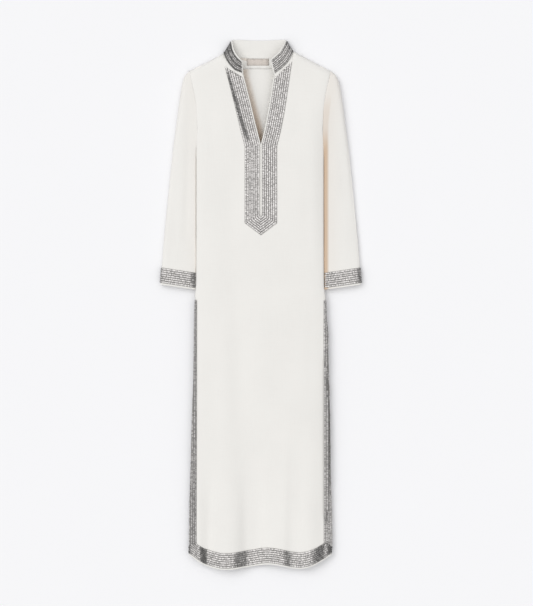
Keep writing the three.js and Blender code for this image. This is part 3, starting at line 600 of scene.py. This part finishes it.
# The most times that an edge is split
SPLITS = 6


def worn(piece, node):
    """The piece stands for a cloth node, and carries what lies on it."""
    hung(piece, node, "cloth")
    CARRIERS[node] = Carrier(node, piece)


def refined(bm, longest):
    """Splits the edges that are longer than the given length."""
    for _ in range(SPLITS):
        long = [e for e in bm.edges if e.calc_length() > longest]
        if not long:
            break
        bmesh.ops.subdivide_edges(bm, edges=long, cuts=1, use_grid_fill=True)
        bmesh.ops.triangulate(bm, faces=bm.faces)


def laid(node, on, name, kind, share=1):
    """A node that lies on a cloth, laid on the finished cloth at a share of its height."""
    bm = welded(node)
    refined(bm, LAID_EDGE)
    carrier = CARRIERS[on]
    places = [carrier.carried(v.co, share=share)[0] for v in bm.verts]
    for v, place in zip(bm.verts, places):
        v.co = place
    mesh = bpy.data.meshes.new(name)
    bm.to_mesh(mesh)
    bm.free()
    return linked(name, mesh, kind)


def chains(edges):
    """Runs of points along edges that meet end to end. A closed run ends where it starts."""
    links = {}
    for e in edges:
        for a, b in (e.verts, reversed(e.verts)):
            links.setdefault(a, []).append(b)
    ends = sorted((v for v in links if len(links[v]) == 1), key=lambda v: v.index)
    rest = sorted(links, key=lambda v: v.index)
    used = set()
    runs = []
    for start in [*ends, *rest]:
        if start in used:
            continue
        run = [start]
        used.add(start)
        while True:
            onward = [v for v in links[run[-1]] if v not in used]
            if not onward:
                break
            run.append(onward[0])
            used.add(onward[0])
        if len(run) > 2 and len(links[start]) == 2 and start in links[run[-1]]:
            run.append(start)
        runs.append([v.co.copy() for v in run])
    return runs


def bead_lanes(node, on):
    """The ridges of a band, one for each row of beads."""
    bm = welded(node)
    bm.verts.index_update()
    carrier = CARRIERS[on]
    ridges = {v for v in bm.verts if carrier.height(v.co) > RIDGE_HEIGHT}
    least, most = RIDGE_BEND
    return chains([e for e in bm.edges if ridges.issuperset(e.verts) and least < e.calc_face_angle_signed(0) < most])


def at_share(run, share):
    """The point at a share of a run's length."""
    lengths = [(b - a).length for a, b in zip(run, run[1:])]
    left = share * sum(lengths)
    for a, b, length in zip(run, run[1:], lengths):
        if left <= length:
            return a.lerp(b, left / length)
        left -= length
    return run[-1]


# Steps along each row of beads underneath
ROW_STEPS = 60


def underside_rows(node, rows):
    """Rows along the underside of a flat strip, shared out between its two long borders."""
    bm = welded(node)
    bm.verts.index_update()
    low = {v for v in bm.verts if v.co.z < UNDERSIDE}
    outline = chains([e for e in bm.edges if low.issuperset(e.verts) and e.calc_face_angle(0) > CORNER])[0]
    loop = outline[:-1]
    count = len(loop)
    corners = []
    for i, point in enumerate(loop):
        before, after = point - loop[i - 1], loop[(i + 1) % count] - point
        if before.angle(after) > TURN:
            corners.append(i)
    sides = []
    for a, b in zip(corners, [*corners[1:], corners[0] + count]):
        sides.append([loop[i % count] for i in range(a, b + 1)])
    sides.sort(key=lambda run: -sum((b - a).length for a, b in zip(run, run[1:])))
    first, second = sides[:2]
    if (first[0] - second[0]).length > (first[0] - second[-1]).length:
        second.reverse()
    shares = [i / ROW_STEPS for i in range(ROW_STEPS + 1)]
    lanes = []
    for row in range(rows):
        across = (row + 0.5) / rows
        lanes.append([at_share(first, share).lerp(at_share(second, share), across) for share in shares])
    return lanes


def stepped(run, step, start=0):
    """The run, less a short start, with points put in so that none is further than the step from the next."""
    first = run[1] - run[0]
    run = [run[0] + first * min(0.9, start / first.length), *run[1:]]
    points = []
    for a, b in zip(run, run[1:]):
        parts = max(1, math.ceil((b - a).length / step))
        points += [a.lerp(b, i / parts) for i in range(parts)]
    return [*points, run[-1]]


def edge_lines(name, runs, ways):
    """An object of edges along runs of points, with the way out from the cloth at each point."""
    edges, start = [], 0
    for run in runs:
        edges += [(start + i, start + i + 1) for i in range(len(run) - 1)]
        start += len(run)
    mesh = bpy.data.meshes.new(name)
    mesh.from_pydata([point for run in runs for point in run], edges, [])
    way = mesh.attributes.new("way", "FLOAT_VECTOR", "POINT")
    way.data.foreach_set("vector", [c for out in ways for c in out])
    return placed(name, mesh)


def lanes_object(name, runs, on, height):
    """Edges along runs of points, carried to the finished cloth. Every other run is marked as odd."""
    rows, ways, odd = [], [], []
    for count, run in enumerate(runs):
        points = stepped(run, LANE_STEP, count * GOLDEN % 1 * LANE_STEP)
        carried = [CARRIERS[on].carried(point, height) for point in points]
        rows.append([place for place, _ in carried])
        ways += [way for _, way in carried]
        odd += [count % 2] * len(points)
    lanes = edge_lines(name, rows, ways)
    lanes.data.attributes.new("odd", "FLOAT", "POINT").data.foreach_set("value", odd)
    return lanes


class Tree:
    """A Geometry Nodes tree and the nodes added to it."""

    def __init__(self, name, inputs):
        self.tree = bpy.data.node_groups.new(name, "GeometryNodeTree")
        face = self.tree.interface
        face.new_socket("Geometry", in_out="INPUT", socket_type="NodeSocketGeometry")
        for kind, labels in inputs.items():
            for label in labels:
                face.new_socket(label, in_out="INPUT", socket_type=kind)
        face.new_socket("Geometry", in_out="OUTPUT", socket_type="NodeSocketGeometry")
        self.given = self.tree.nodes.new("NodeGroupInput").outputs

    def add(self, kind, settings, inputs, out=0):
        node = self.tree.nodes.new(kind)
        for name, value in settings.items():
            setattr(node, name, value)
        for name, value in inputs.items():
            if isinstance(value, bpy.types.NodeSocket):
                self.tree.links.new(value, node.inputs[name])
            else:
                node.inputs[name].default_value = value
        return node.outputs[out] if node.outputs else None


BEAD_INPUTS = {
    "NodeSocketFloat": ("Length", "Width", "Height", "Spacing", "Squareness", "Unevenness"),
    "NodeSocketInt": ("Seed",),
    "NodeSocketMaterial": ("Material",),
}
# Seeds of the beads' shifts along their rows, and of their tones
SHIFT_SEED = 11
TONE_SEED = 3


def bead_tree():
    """Beads set along every edge line, each turned along its line and flat to the cloth."""
    made = Tree("Beads along lanes", BEAD_INPUTS)
    given, add = made.given, made.add
    spacing, uneven, seed = given["Spacing"], given["Unevenness"], given["Seed"]

    def maths(operation, first, second):
        return add("ShaderNodeMath", {"operation": operation}, {0: first, 1: second})

    def chance(low, high, seed):
        return add("FunctionNodeRandomValue", {"data_type": "FLOAT"}, {2: low, 3: high, "Seed": seed}, out=1)

    curve = add("GeometryNodeMeshToCurve", {}, {"Mesh": given["Geometry"]})
    even = add("GeometryNodeResampleCurve", {"mode": "LENGTH"}, {"Curve": curve, "Length": spacing})
    less = maths("MULTIPLY", uneven, -1.0)
    slip = maths("MULTIPLY", chance(less, uneven, SHIFT_SEED), spacing)
    tangent = add("GeometryNodeInputTangent", {}, {})
    shift = add("ShaderNodeVectorMath", {"operation": "SCALE"}, {0: tangent, "Scale": slip})
    places = add("GeometryNodeSetPosition", {}, {"Geometry": even, "Offset": shift})
    block = add("GeometryNodeMeshCube", {}, {"Size": (1.0, 1.0, 1.0)})
    bead = add("GeometryNodeSubdivisionSurface", {}, {"Mesh": block, "Level": 1, "Edge Crease": given["Squareness"]})
    vectors = {"data_type": "FLOAT_VECTOR"}
    way = add("GeometryNodeInputNamedAttribute", vectors, {"Name": "way"})
    stray = add("FunctionNodeRandomValue", vectors, {"Min": less, "Max": uneven, "Seed": seed})
    along = add("ShaderNodeVectorMath", {"operation": "ADD"}, {0: tangent, 1: stray})
    upright = add("FunctionNodeAlignRotationToVector", {"axis": "Z"}, {"Vector": way})
    turned = add(
        "FunctionNodeAlignRotationToVector", {"axis": "X", "pivot_axis": "Z"}, {"Rotation": upright, "Vector": along}
    )
    size = add("ShaderNodeCombineXYZ", {}, {0: given["Length"], 1: given["Width"], 2: given["Height"]})
    growth = chance(maths("SUBTRACT", 1.0, uneven), maths("ADD", uneven, 1.0), seed)
    scale = add("ShaderNodeVectorMath", {"operation": "SCALE"}, {0: size, "Scale": growth})
    set_out = add(
        "GeometryNodeInstanceOnPoints", {}, {"Points": places, "Instance": bead, "Rotation": turned, "Scale": scale}
    )
    toned = add(
        "GeometryNodeStoreNamedAttribute",
        {"data_type": "FLOAT", "domain": "INSTANCE"},
        {"Geometry": set_out, "Name": "tone", "Value": chance(0.0, 1.0, TONE_SEED)},
    )
    real = add("GeometryNodeRealizeInstances", {}, {"Geometry": toned})
    smooth = add("GeometryNodeSetShadeSmooth", {}, {"Geometry": real})
    coloured = add("GeometryNodeSetMaterial", {}, {"Geometry": smooth, "Material": given["Material"]})
    add("NodeGroupOutput", {}, {"Geometry": coloured})
    return made.tree


TREES = {}


def beaded(lanes, name, kind, sizes):
    """The beads that the tree sets along the lanes, as one mesh."""
    if "beads" not in TREES:
        TREES["beads"] = bead_tree()
    rows = lanes.modifiers.new("rows", "NODES")
    rows.node_group = TREES["beads"]
    for item in rows.node_group.interface.items_tree:
        if item.in_out == "INPUT" and item.name in sizes:
            rows[item.identifier] = sizes[item.name]
    return baked(lanes, name, kind)


# A stitch, for the same tree as the beads
STITCH = {
    "Length": 2.6 * MM,
    "Width": 0.5 * MM,
    "Height": 0.4 * MM,
    "Spacing": 3.6 * MM,
    "Squareness": 0.2,
    "Unevenness": 0.08,
    "Seed": 5,
}
STITCH_HEIGHT = 0.12 * MM
STITCH_AWAY = 1.3 * MM
# Heights above the cloth between which a band's border lies, and its fewest points
BORDER = (0.8 * MM, 1.2 * MM)
BORDER_POINTS = 4


def border_lanes(node, on):
    """The long borders of a band, moved out from it over the cloth."""
    bm = welded(node)
    bm.verts.index_update()
    carrier = CARRIERS[on]
    heights = {v: carrier.height(v.co) for v in bm.verts}
    rim = {v for v, height in heights.items() if BORDER[0] < height < BORDER[1]}
    edges = [e for e in bm.edges if rim.issuperset(e.verts) and e.calc_face_angle(0) > CORNER]
    ridges = [v.co for v, height in heights.items() if height > RIDGE_HEIGHT]
    runs = []
    for run in chains(edges):
        if len(run) < BORDER_POINTS:
            continue
        moved = []
        for before, point, after in zip([run[0], *run], run, [*run[1:], run[-1]]):
            near = min(ridges, key=lambda ridge: (ridge - point).length)
            line = (after - before).normalized()
            away = point - near
            away -= line * away.dot(line)
            moved.append(point + away.normalized() * STITCH_AWAY)
        runs.append(moved)
    return runs


def stitched(name, runs, on, height=STITCH_HEIGHT):
    """Stitches along runs of points on a cloth."""
    lanes = lanes_object(name + "_lanes", runs, on, height)
    piece = beaded(lanes, name, "thread", {**STITCH, "Material": finish_of("thread")})
    riding(piece, "cloth")
    return piece


# The collar's rows lie closer, so that its beads are this share as wide
COLLAR_WIDTH = 0.66
# How sharp the beads' edges are, and how much they differ in size, turn and place
SQUARENESS = 0.75
UNEVENNESS = 0.18


def bead_sizes(kind="beads"):
    beads = bpy.context.scene.kaftan_beads
    return {
        "Length": beads.length,
        "Width": beads.width * (COLLAR_WIDTH if kind == "collar beads" else 1),
        "Height": beads.height,
        "Spacing": beads.spacing,
        "Squareness": SQUARENESS,
        "Unevenness": UNEVENNESS,
        "Seed": beads.seed,
        "Material": finish_of(kind),
    }


# The creases of each cloth, in millimetres: the ends of each one's middle line, its half width and its rise
FRONT_CREASES = (
    ((-82, 380), (-68, 20), 26, -1.6),
    ((-68, 90), (-50, -300), 26, -2.2),
    ((-52, -160), (-36, -760), 32, -3.2),
    ((-118, 250), (-128, -120), 22, 1.2),
    ((-110, -60), (-104, -420), 26, 1.4),
    ((52, 180), (60, -180), 30, 1.2),
    ((66, -220), (74, -560), 26, 1.5),
    ((118, 420), (126, 90), 16, -1.2),
    ((-112, 545), (-92, 430), 20, 1.3),
    ((-140, 540), (-128, 380), 14, -1.1),
    ((96, 560), (104, 440), 18, -1.2),
    ((134, 30), (130, -300), 14, -1.0),
    ((-96, 120), (-88, -560), 24, 1.5),
    ((6, 150), (18, -420), 30, 1.4),
    ((-166, -420), (-160, -900), 11, 3.2),
    ((-134, -430), (-138, -900), 13, -4.0),
    ((12, -380), (20, -860), 15, 2.0),
    ((104, -430), (100, -880), 11, -1.6),
    ((66, -330), (62, -900), 13, 2.2),
    ((-44, -430), (-40, -900), 12, -2.2),
    ((166, 540), (166, 20), 24, -5.0),
    ((170, 80), (170, -820), 26, -5.0),
)


def smooth(value, low, high):
    """0 below low and 1 above high, with a smooth step between them."""
    share = min(1, max(0, (value - low) / (high - low)))
    return share * share * (3 - 2 * share)


def creased(piece, creases, low, high):
    """Raises or lowers cloth along each crease. Cloth below the low height stays where it is."""
    depth = bpy.context.scene.kaftan_cloth.crease * MM
    lines = [
        (Vector(a) * MM, (Vector(b) - Vector(a)) * MM, width * MM, rise * depth) for a, b, width, rise in creases
    ]
    for v in piece.data.vertices:
        share = smooth(v.co.z, low, high)
        if not share:
            continue
        lift = 0
        for start, run, width, rise in lines:
            offset = Vector(v.co.xy) - start
            t = offset.dot(run) / run.length_squared
            side = offset.cross(run) / run.length
            ends = max(0, 1 - (2 * t - 1) ** 2) if 0 < t < 1 else 0
            lift += rise * ends * math.exp(-((side / width) ** 2))
        v.co.z += lift * share


def sewn(piece, *others):
    """Closes the seam between a piece's rim and the named pieces that it is sewn to."""
    seen = bpy.context.evaluated_depsgraph_get()
    for other in others:
        cloth = BVHTree.FromObject(bpy.context.scene.objects[other], seen)
        for v in piece.data.vertices:
            near, _, _, gap = cloth.find_nearest(v.co, SEAM)
            if near and gap > SEAM_LEFT:
                v.co = v.co.lerp(near, 1 - SEAM_LEFT / gap)


# Where the front's sides are drawn in, measured out from the middle and up to the arms, and by how much:
# on the left, less so towards the hem, and on the right, only near the slit's top
TUCK_OUT = (165 * MM, 181 * MM)
TUCK_UP = (8 * MM, 30 * MM)
TUCK_LEFT = 5.8 * MM
TUCK_LEFT_LESS = 3.0 * MM
TUCK_LEFT_DOWN = (200 * MM, 600 * MM)
TUCK_RIGHT = 4.5 * MM
TUCK_RIGHT_DOWN = (30 * MM, 80 * MM)


def tucked(piece):
    """Draws the front's sides in below the arms, with what lies on them."""
    for v in piece.data.vertices:
        share = smooth(abs(v.co.x), *TUCK_OUT) * (1 - smooth(v.co.y, *TUCK_UP))
        left = TUCK_LEFT - smooth(-v.co.y, *TUCK_LEFT_DOWN) * TUCK_LEFT_LESS
        right = (1 - smooth(-v.co.y, *TUCK_RIGHT_DOWN)) * TUCK_RIGHT
        v.co.x += share * (left if v.co.x < 0 else -right)


# Where the sleeves' inner sides are drawn to the body's: out from the middle, up to the armholes, near
# the cuffs, and which of their cloth is the upper
NESTLE_OUT = (174 * MM, 194 * MM)
NESTLE_UP = (420 * MM, 500 * MM)
NESTLE_CUFF = (90 * MM, 200 * MM)
NESTLE_NEAR = (170 * MM, 184 * MM)
NESTLE_UPPER = (3 * MM, 8 * MM)


def nestled(piece, gap, below, rise):
    """Lays a sleeve's inner side against the body's, and lifts or lowers its upper cloth there."""
    for v in piece.data.vertices:
        sign = math.copysign(1, v.co.x)
        inner = 1 - smooth(abs(v.co.x), *NESTLE_OUT)
        level = 1 - smooth(v.co.y, *NESTLE_UP)
        near = 1 - smooth(abs(v.co.x), *NESTLE_NEAR)
        v.co.x -= sign * inner * level * (gap + (1 - smooth(v.co.y, *NESTLE_CUFF)) * below)
        v.co.z += rise * smooth(v.co.z, *NESTLE_UPPER) * level * near


# Operators


class KAFTAN_OT_front(bpy.types.Operator):
    """Make the front's cloth with its long soft creases"""

    bl_idname = "kaftan.front"
    bl_label = "Front"

    def execute(self, context):
        piece = softened("front_panel", "front_cloth", "front")
        creased(piece, FRONT_CREASES, 10 * MM, 19 * MM)
        sewn(piece, "back_cloth")
        worn(piece, "front_panel")
        return {"FINISHED"}


BACK_CREASES = (
    ((-60, 520), (-34, 180), 16, 1.4),
    ((48, 470), (22, 60), 20, 1.1),
    ((-24, 150), (-58, -330), 18, 1.6),
    ((70, 20), (84, -410), 15, 1.2),
    ((8, -120), (-6, -560), 22, 1.3),
    ((-84, -250), (-70, -600), 13, 0.9),
)


class KAFTAN_OT_back(bpy.types.Operator):
    """Make the back's cloth"""

    bl_idname = "kaftan.back"
    bl_label = "Back"

    def execute(self, context):
        piece = softened("back_panel", "back_cloth", "back")
        creased(piece, BACK_CREASES, -2 * MM, -1 * MM)
        worn(piece, "back_panel")
        return {"FINISHED"}


SLEEVE_CREASES = {
    "left": (
        ((-190, 500), (-198, 150), 10, -2.4),
        ((-210, 330), (-218, 120), 11, 1.0),
        ((-222, 440), (-236, 250), 9, -0.9),
        ((-200, 560), (-206, 470), 9, 0.8),
        ((-232, 190), (-240, 90), 8, -0.8),
    ),
    "right": (
        ((226, 520), (258, 30), 14, -2.6),
        ((197, 470), (204, 260), 10, 0.9),
        ((205, 250), (214, 110), 12, 0.8),
        ((218, 400), (226, 220), 8, -0.7),
    ),
}
# How far each sleeve's inner side moves to the body's, how much further near the cuff, and how far its
# upper cloth there rises
NESTLE = (
    ("left", 3.0 * MM, 2.2 * MM, 3.0 * MM),
    ("right", 2.9 * MM, 2.4 * MM, 1.5 * MM),
)


class KAFTAN_OT_sleeves(bpy.types.Operator):
    """Make both sleeves' cloth"""

    bl_idname = "kaftan.sleeves"
    bl_label = "Sleeves"

    def execute(self, context):
        for word, *lie in NESTLE:
            node = "sleeve_" + word
            piece = softened(node, node + "_cloth", "sleeve")
            creased(piece, SLEEVE_CREASES[word], 10 * MM, 14 * MM)
            nestled(piece, *lie)
            sewn(piece, "front_cloth", "back_cloth")
            worn(piece, node)
        return {"FINISHED"}


class KAFTAN_OT_collar(bpy.types.Operator):
    """Make the stand collar's cloth"""

    bl_idname = "kaftan.collar"
    bl_label = "Collar"

    def execute(self, context):
        piece = softened("collar", "collar_cloth")
        sewn(piece, "front_cloth", "back_cloth")
        worn(piece, "collar")
        return {"FINISHED"}


# Each beaded band, the cloth that it lies on and its name
BANDS = (
    ("collar_trim", "collar", "collar_band"),
    ("placket_trim_left", "front_panel", "left_placket_band"),
    ("placket_trim_right", "front_panel", "right_placket_band"),
    ("cuff_trim_left", "sleeve_left", "left_cuff_band"),
    ("cuff_trim_right", "sleeve_right", "right_cuff_band"),
    ("front_hem_trim", "front_panel", "front_hem_band"),
    ("front_slit_trim_left", "front_panel", "left_front_slit_band"),
    ("front_slit_trim_right", "front_panel", "right_front_slit_band"),
)
BACK_BANDS = (
    ("back_hem_trim", "back_panel", "back_hem_band"),
    ("back_slit_trim_left", "back_panel", "left_back_slit_band"),
    ("back_slit_trim_right", "back_panel", "right_back_slit_band"),
)
# Bands whose beads take a material of their own, each with its own painted shade
BEAD_KINDS = {
    "collar_band": "collar beads",
    "left_placket_band": "placket beads",
    "left_front_slit_band": "slit beads",
    "right_front_slit_band": "slit beads",
}
# The bands that are drawn in with the front's sides
TUCKED_BANDS = ("front_hem_band", "left_front_slit_band", "right_front_slit_band")
BEAD_HEIGHT = 1.5 * MM
# The back's bands lie underneath: their rows, the backing's level and share of its thickness, and the
# level and height of their beads
BACK_ROWS = 7
BACK_STRIP_Z = 0.75 * MM
BACK_STRIP_SHARE = 0.37
BACK_BEAD_Z = 0.62 * MM
BACK_BEAD_HEIGHT = 1.1 * MM


class KAFTAN_OT_bands(bpy.types.Operator):
    """Make the bands' backing strips and their rows of beads"""

    bl_idname = "kaftan.bands"
    bl_label = "Beaded bands"

    def execute(self, context):
        for node, on, name in BANDS:
            strip = laid(node, on, name, "backing")
            hung(strip, node, "beads")
            lanes = lanes_object(name + "_lanes", bead_lanes(node, on), on, BEAD_HEIGHT)
            kind = BEAD_KINDS.get(name, "beads")
            riding(beaded(lanes, name.replace("_band", "_beads"), kind, bead_sizes(kind)), "beads")
            borders = border_lanes(node, on)
            if "placket" in node or "collar" in node:
                borders = [max(borders, key=self.outwards(node))]
            stitched(name + "_stitches", borders, on)
        for node, on, name in BACK_BANDS:
            strip = laid(node, on, name, "backing")
            for v in strip.data.vertices:
                v.co.z = BACK_STRIP_Z + v.co.z * BACK_STRIP_SHARE
            hung(strip, node, "beads")
            rows = [[Vector((p.x, p.y, BACK_BEAD_Z)) for p in run] for run in underside_rows(node, BACK_ROWS)]
            lanes = edge_lines(name + "_lanes", rows, [(0, 0, -1)] * sum(map(len, rows)))
            flat = {**bead_sizes(), "Height": BACK_BEAD_HEIGHT}
            riding(beaded(lanes, name.replace("_band", "_beads"), "beads", flat), "beads")
        tucked(context.scene.objects["front_cloth"])
        for band in TUCKED_BANDS:
            for name in (band, band.replace("_band", "_beads"), band + "_stitches"):
                tucked(context.scene.objects[name])
        return {"FINISHED"}

    def outwards(self, node):
        """A measure of how far out a border lies: from the centre line, or up the collar."""
        if "placket" in node:
            return lambda run: sum(abs(p.x) for p in run) / len(run)
        return lambda run: sum(p.z for p in run) / len(run)


class KAFTAN_OT_pipings(bpy.types.Operator):
    """Make the pipings along the placket"""

    bl_idname = "kaftan.pipings"
    bl_label = "Pipings"

    def execute(self, context):
        for word in ("left", "right"):
            node = "placket_piping_" + word
            hung(laid(node, "front_panel", word + "_placket_piping", "cloth"), node, "cloth")
        return {"FINISHED"}


# How far the facing and the label lie up to the neck seam, and the share of their height that they keep
NECK_UP = 2.4 * MM
NECK_FLAT = 0.14
LABEL_INSET = 1.6 * MM
FACING_INSET = 2 * MM


class KAFTAN_OT_neck(bpy.types.Operator):
    """Make the facing and the blank label inside the back of the neck"""

    bl_idname = "kaftan.neck"
    bl_label = "Facing and label"

    def execute(self, context):
        for node, kind in (("neck_facing", "cloth"), ("neck_label", "label")):
            piece = laid(node, "back_panel", node + "_cloth", kind, NECK_FLAT)
            for v in piece.data.vertices:
                v.co.y += NECK_UP
            hung(piece, node, kind)
        ring = self.ring("neck_label", LABEL_INSET)
        stitched("neck_label_stitches", [ring], "back_panel", self.top("neck_label"))
        low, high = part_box("neck_facing")
        y = low.y + NECK_UP + FACING_INSET
        across = (low.x + FACING_INSET, (low.x + high.x) / 2, high.x - FACING_INSET)
        line = [Vector((x, y, high.z)) for x in across]
        stitched("neck_facing_stitches", [line], "back_panel", self.top("neck_facing"))
        return {"FINISHED"}

    def ring(self, node, inset):
        """A ring of points just inside the edge of a small flat piece."""
        low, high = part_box(node)
        x0, x1 = low.x + inset, high.x - inset
        y0, y1 = low.y + NECK_UP + inset, high.y + NECK_UP - inset
        corners = [(x0, y0), (x1, y0), (x1, y1), (x0, y1), (x0, y0)]
        return [Vector((x, y, high.z)) for x, y in corners]

    def top(self, node):
        """The height of a flat piece's upper face above the back."""
        low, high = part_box(node)
        middle = Vector(((low.x + high.x) / 2, (low.y + high.y) / 2, high.z))
        return CARRIERS["back_panel"].height(middle) * NECK_FLAT + STITCH_HEIGHT


FLOOR_HALF = 20.0
FLOOR_Z = -0.1 * MM
KEY_FROM = (-0.62, 0.38, 0.8)
KEY_ANGLE = math.radians(40)
SENSOR_WIDTH = 36
# How bright the studio is at the horizon and overhead, as shares of the fill light
HORIZON = 0.15
OVERHEAD = 1.25
# Where the middle of the picture lies, and how much it takes in, up its long side
VIEW_MIDDLE = (14.9 * MM, 4.4 * MM)
VIEW_LENGTH = 1606 * MM
SEEN_LEVEL = 18 * MM


class KAFTAN_OT_stage(bpy.types.Operator):
    """Make the floor, the lights and the camera"""

    bl_idname = "kaftan.stage"
    bl_label = "Stage"

    def execute(self, context):
        stage = context.scene.kaftan_stage
        self.floor(stage)
        self.lights(stage)
        self.camera(stage)
        context.scene.view_settings.view_transform = "Standard"
        return {"FINISHED"}

    def floor(self, stage):
        mesh = bpy.data.meshes.new("floor")
        signs = ((-1, -1), (1, -1), (1, 1), (-1, 1))
        mesh.from_pydata([(x * FLOOR_HALF, y * FLOOR_HALF, FLOOR_Z) for x, y in signs], [], [(0, 1, 2, 3)])
        floor = placed("floor", mesh)
        finish = Finish("pale floor", Roughness=0.9, Specular_IOR_Level=0.2)
        pale = tuple(stage.floor)
        finish.feed("Base Color", finish.mix(finish.noise(3.0), pale, tuple(c * 0.99 for c in pale)))
        mesh.materials.append(finish.material)

    def lights(self, stage):
        lamp = bpy.data.lights.new("key", "SUN")
        lamp.energy = stage.key
        lamp.angle = KEY_ANGLE
        placed("key", lamp).rotation_euler = Vector(KEY_FROM).to_track_quat("Z", "Y").to_euler()
        world = bpy.data.worlds.new("studio")
        world.use_nodes = True
        nodes, links = world.node_tree.nodes, world.node_tree.links
        nodes["Background"].inputs["Color"].default_value = (1, 1, 1, 1)
        place = nodes.new("ShaderNodeTexCoord")
        split = nodes.new("ShaderNodeSeparateXYZ")
        ramp = nodes.new("ShaderNodeMapRange")
        links.new(place.outputs["Generated"], split.inputs[0])
        links.new(split.outputs["Z"], ramp.inputs["Value"])
        ramp.inputs["To Min"].default_value = HORIZON * stage.fill
        ramp.inputs["To Max"].default_value = OVERHEAD * stage.fill
        links.new(ramp.outputs[0], nodes["Background"].inputs["Strength"])
        bpy.context.scene.world = world

    def camera(self, stage):
        data = bpy.data.cameras.new("camera")
        data.sensor_width = SENSOR_WIDTH
        data.lens = data.sensor_width * (stage.height - SEEN_LEVEL) / VIEW_LENGTH
        camera = placed("camera", data)
        camera.location = (*VIEW_MIDDLE, stage.height)
        bpy.context.scene.camera = camera


OPERATORS = (
    KAFTAN_OT_stage,
    KAFTAN_OT_back,
    KAFTAN_OT_front,
    KAFTAN_OT_sleeves,
    KAFTAN_OT_collar,
    KAFTAN_OT_bands,
    KAFTAN_OT_pipings,
    KAFTAN_OT_neck,
)


class KAFTAN_PT_panel(bpy.types.Panel):
    bl_idname = "KAFTAN_PT_panel"
    bl_label = "Kaftan"
    bl_space_type = "VIEW_3D"
    bl_region_type = "UI"
    bl_category = "Kaftan"

    def draw(self, context):
        for group in ("kaftan_cloth", "kaftan_beads", "kaftan_stage"):
            box = self.layout.box()
            values = getattr(context.scene, group)
            for name in values.bl_rna.properties.keys():
                if name not in ("rna_type", "name"):
                    box.prop(values, name)
        for operator in OPERATORS:
            self.layout.operator(operator.bl_idname)


GROUPS = {"kaftan_cloth": KAFTAN_PG_cloth, "kaftan_beads": KAFTAN_PG_beads, "kaftan_stage": KAFTAN_PG_stage}


def register():
    for cls in (*GROUPS.values(), *OPERATORS, KAFTAN_PT_panel):
        bpy.utils.register_class(cls)
    for name, cls in GROUPS.items():
        setattr(bpy.types.Scene, name, PointerProperty(type=cls))


def unregister():
    for name in GROUPS:
        delattr(bpy.types.Scene, name)
    for cls in (KAFTAN_PT_panel, *reversed(OPERATORS), *GROUPS.values()):
        bpy.utils.unregister_class(cls)


# Each cloth piece: the flat size that it was cut to, its area where that isn't a rectangle, what it
# rests on, and what is sewn on it
SHEETS = {
    "back_cloth": ((0.374, 1.36), 0.406, ["floor"], ["back_hem_band", "left_back_slit_band", "right_back_slit_band"]),
    "front_cloth": (
        (0.43, 1.375),
        0.53,
        ["back_cloth", "floor"],
        ["left_placket_band", "right_placket_band", *TUCKED_BANDS, "left_placket_piping", "right_placket_piping"],
    ),
    "sleeve_left_cloth": ((0.19, 0.58), 0.083, ["floor"], ["left_cuff_band"]),
    "sleeve_right_cloth": ((0.19, 0.58), 0.083, ["floor"], ["right_cuff_band"]),
    "collar_cloth": ((0.345, 0.043), None, ["back_cloth", "front_cloth"], ["collar_band"]),
    "neck_facing_cloth": ((0.14, 0.0285), None, ["back_cloth"], ["neck_facing_stitches"]),
    "neck_label_cloth": ((0.06, 0.018), None, ["neck_facing_cloth"], ["neck_label_stitches"]),
}


def declare_sheets():
    pieces = bpy.context.scene.objects
    for name, (flat, area, rests_on, sewn_on) in SHEETS.items():
        beads = [band.replace("_band", "_beads") for band in sewn_on if band.endswith("_band")]
        on = [pieces[part] for part in (*sewn_on, *beads)]
        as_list(rests_on)


def main():
    register()
    for operator in OPERATORS:
        group, name = operator.bl_idname.split(".")
        getattr(getattr(bpy.ops, group), name)()
    declare_sheets()


if __name__ == "__main__":
    main()
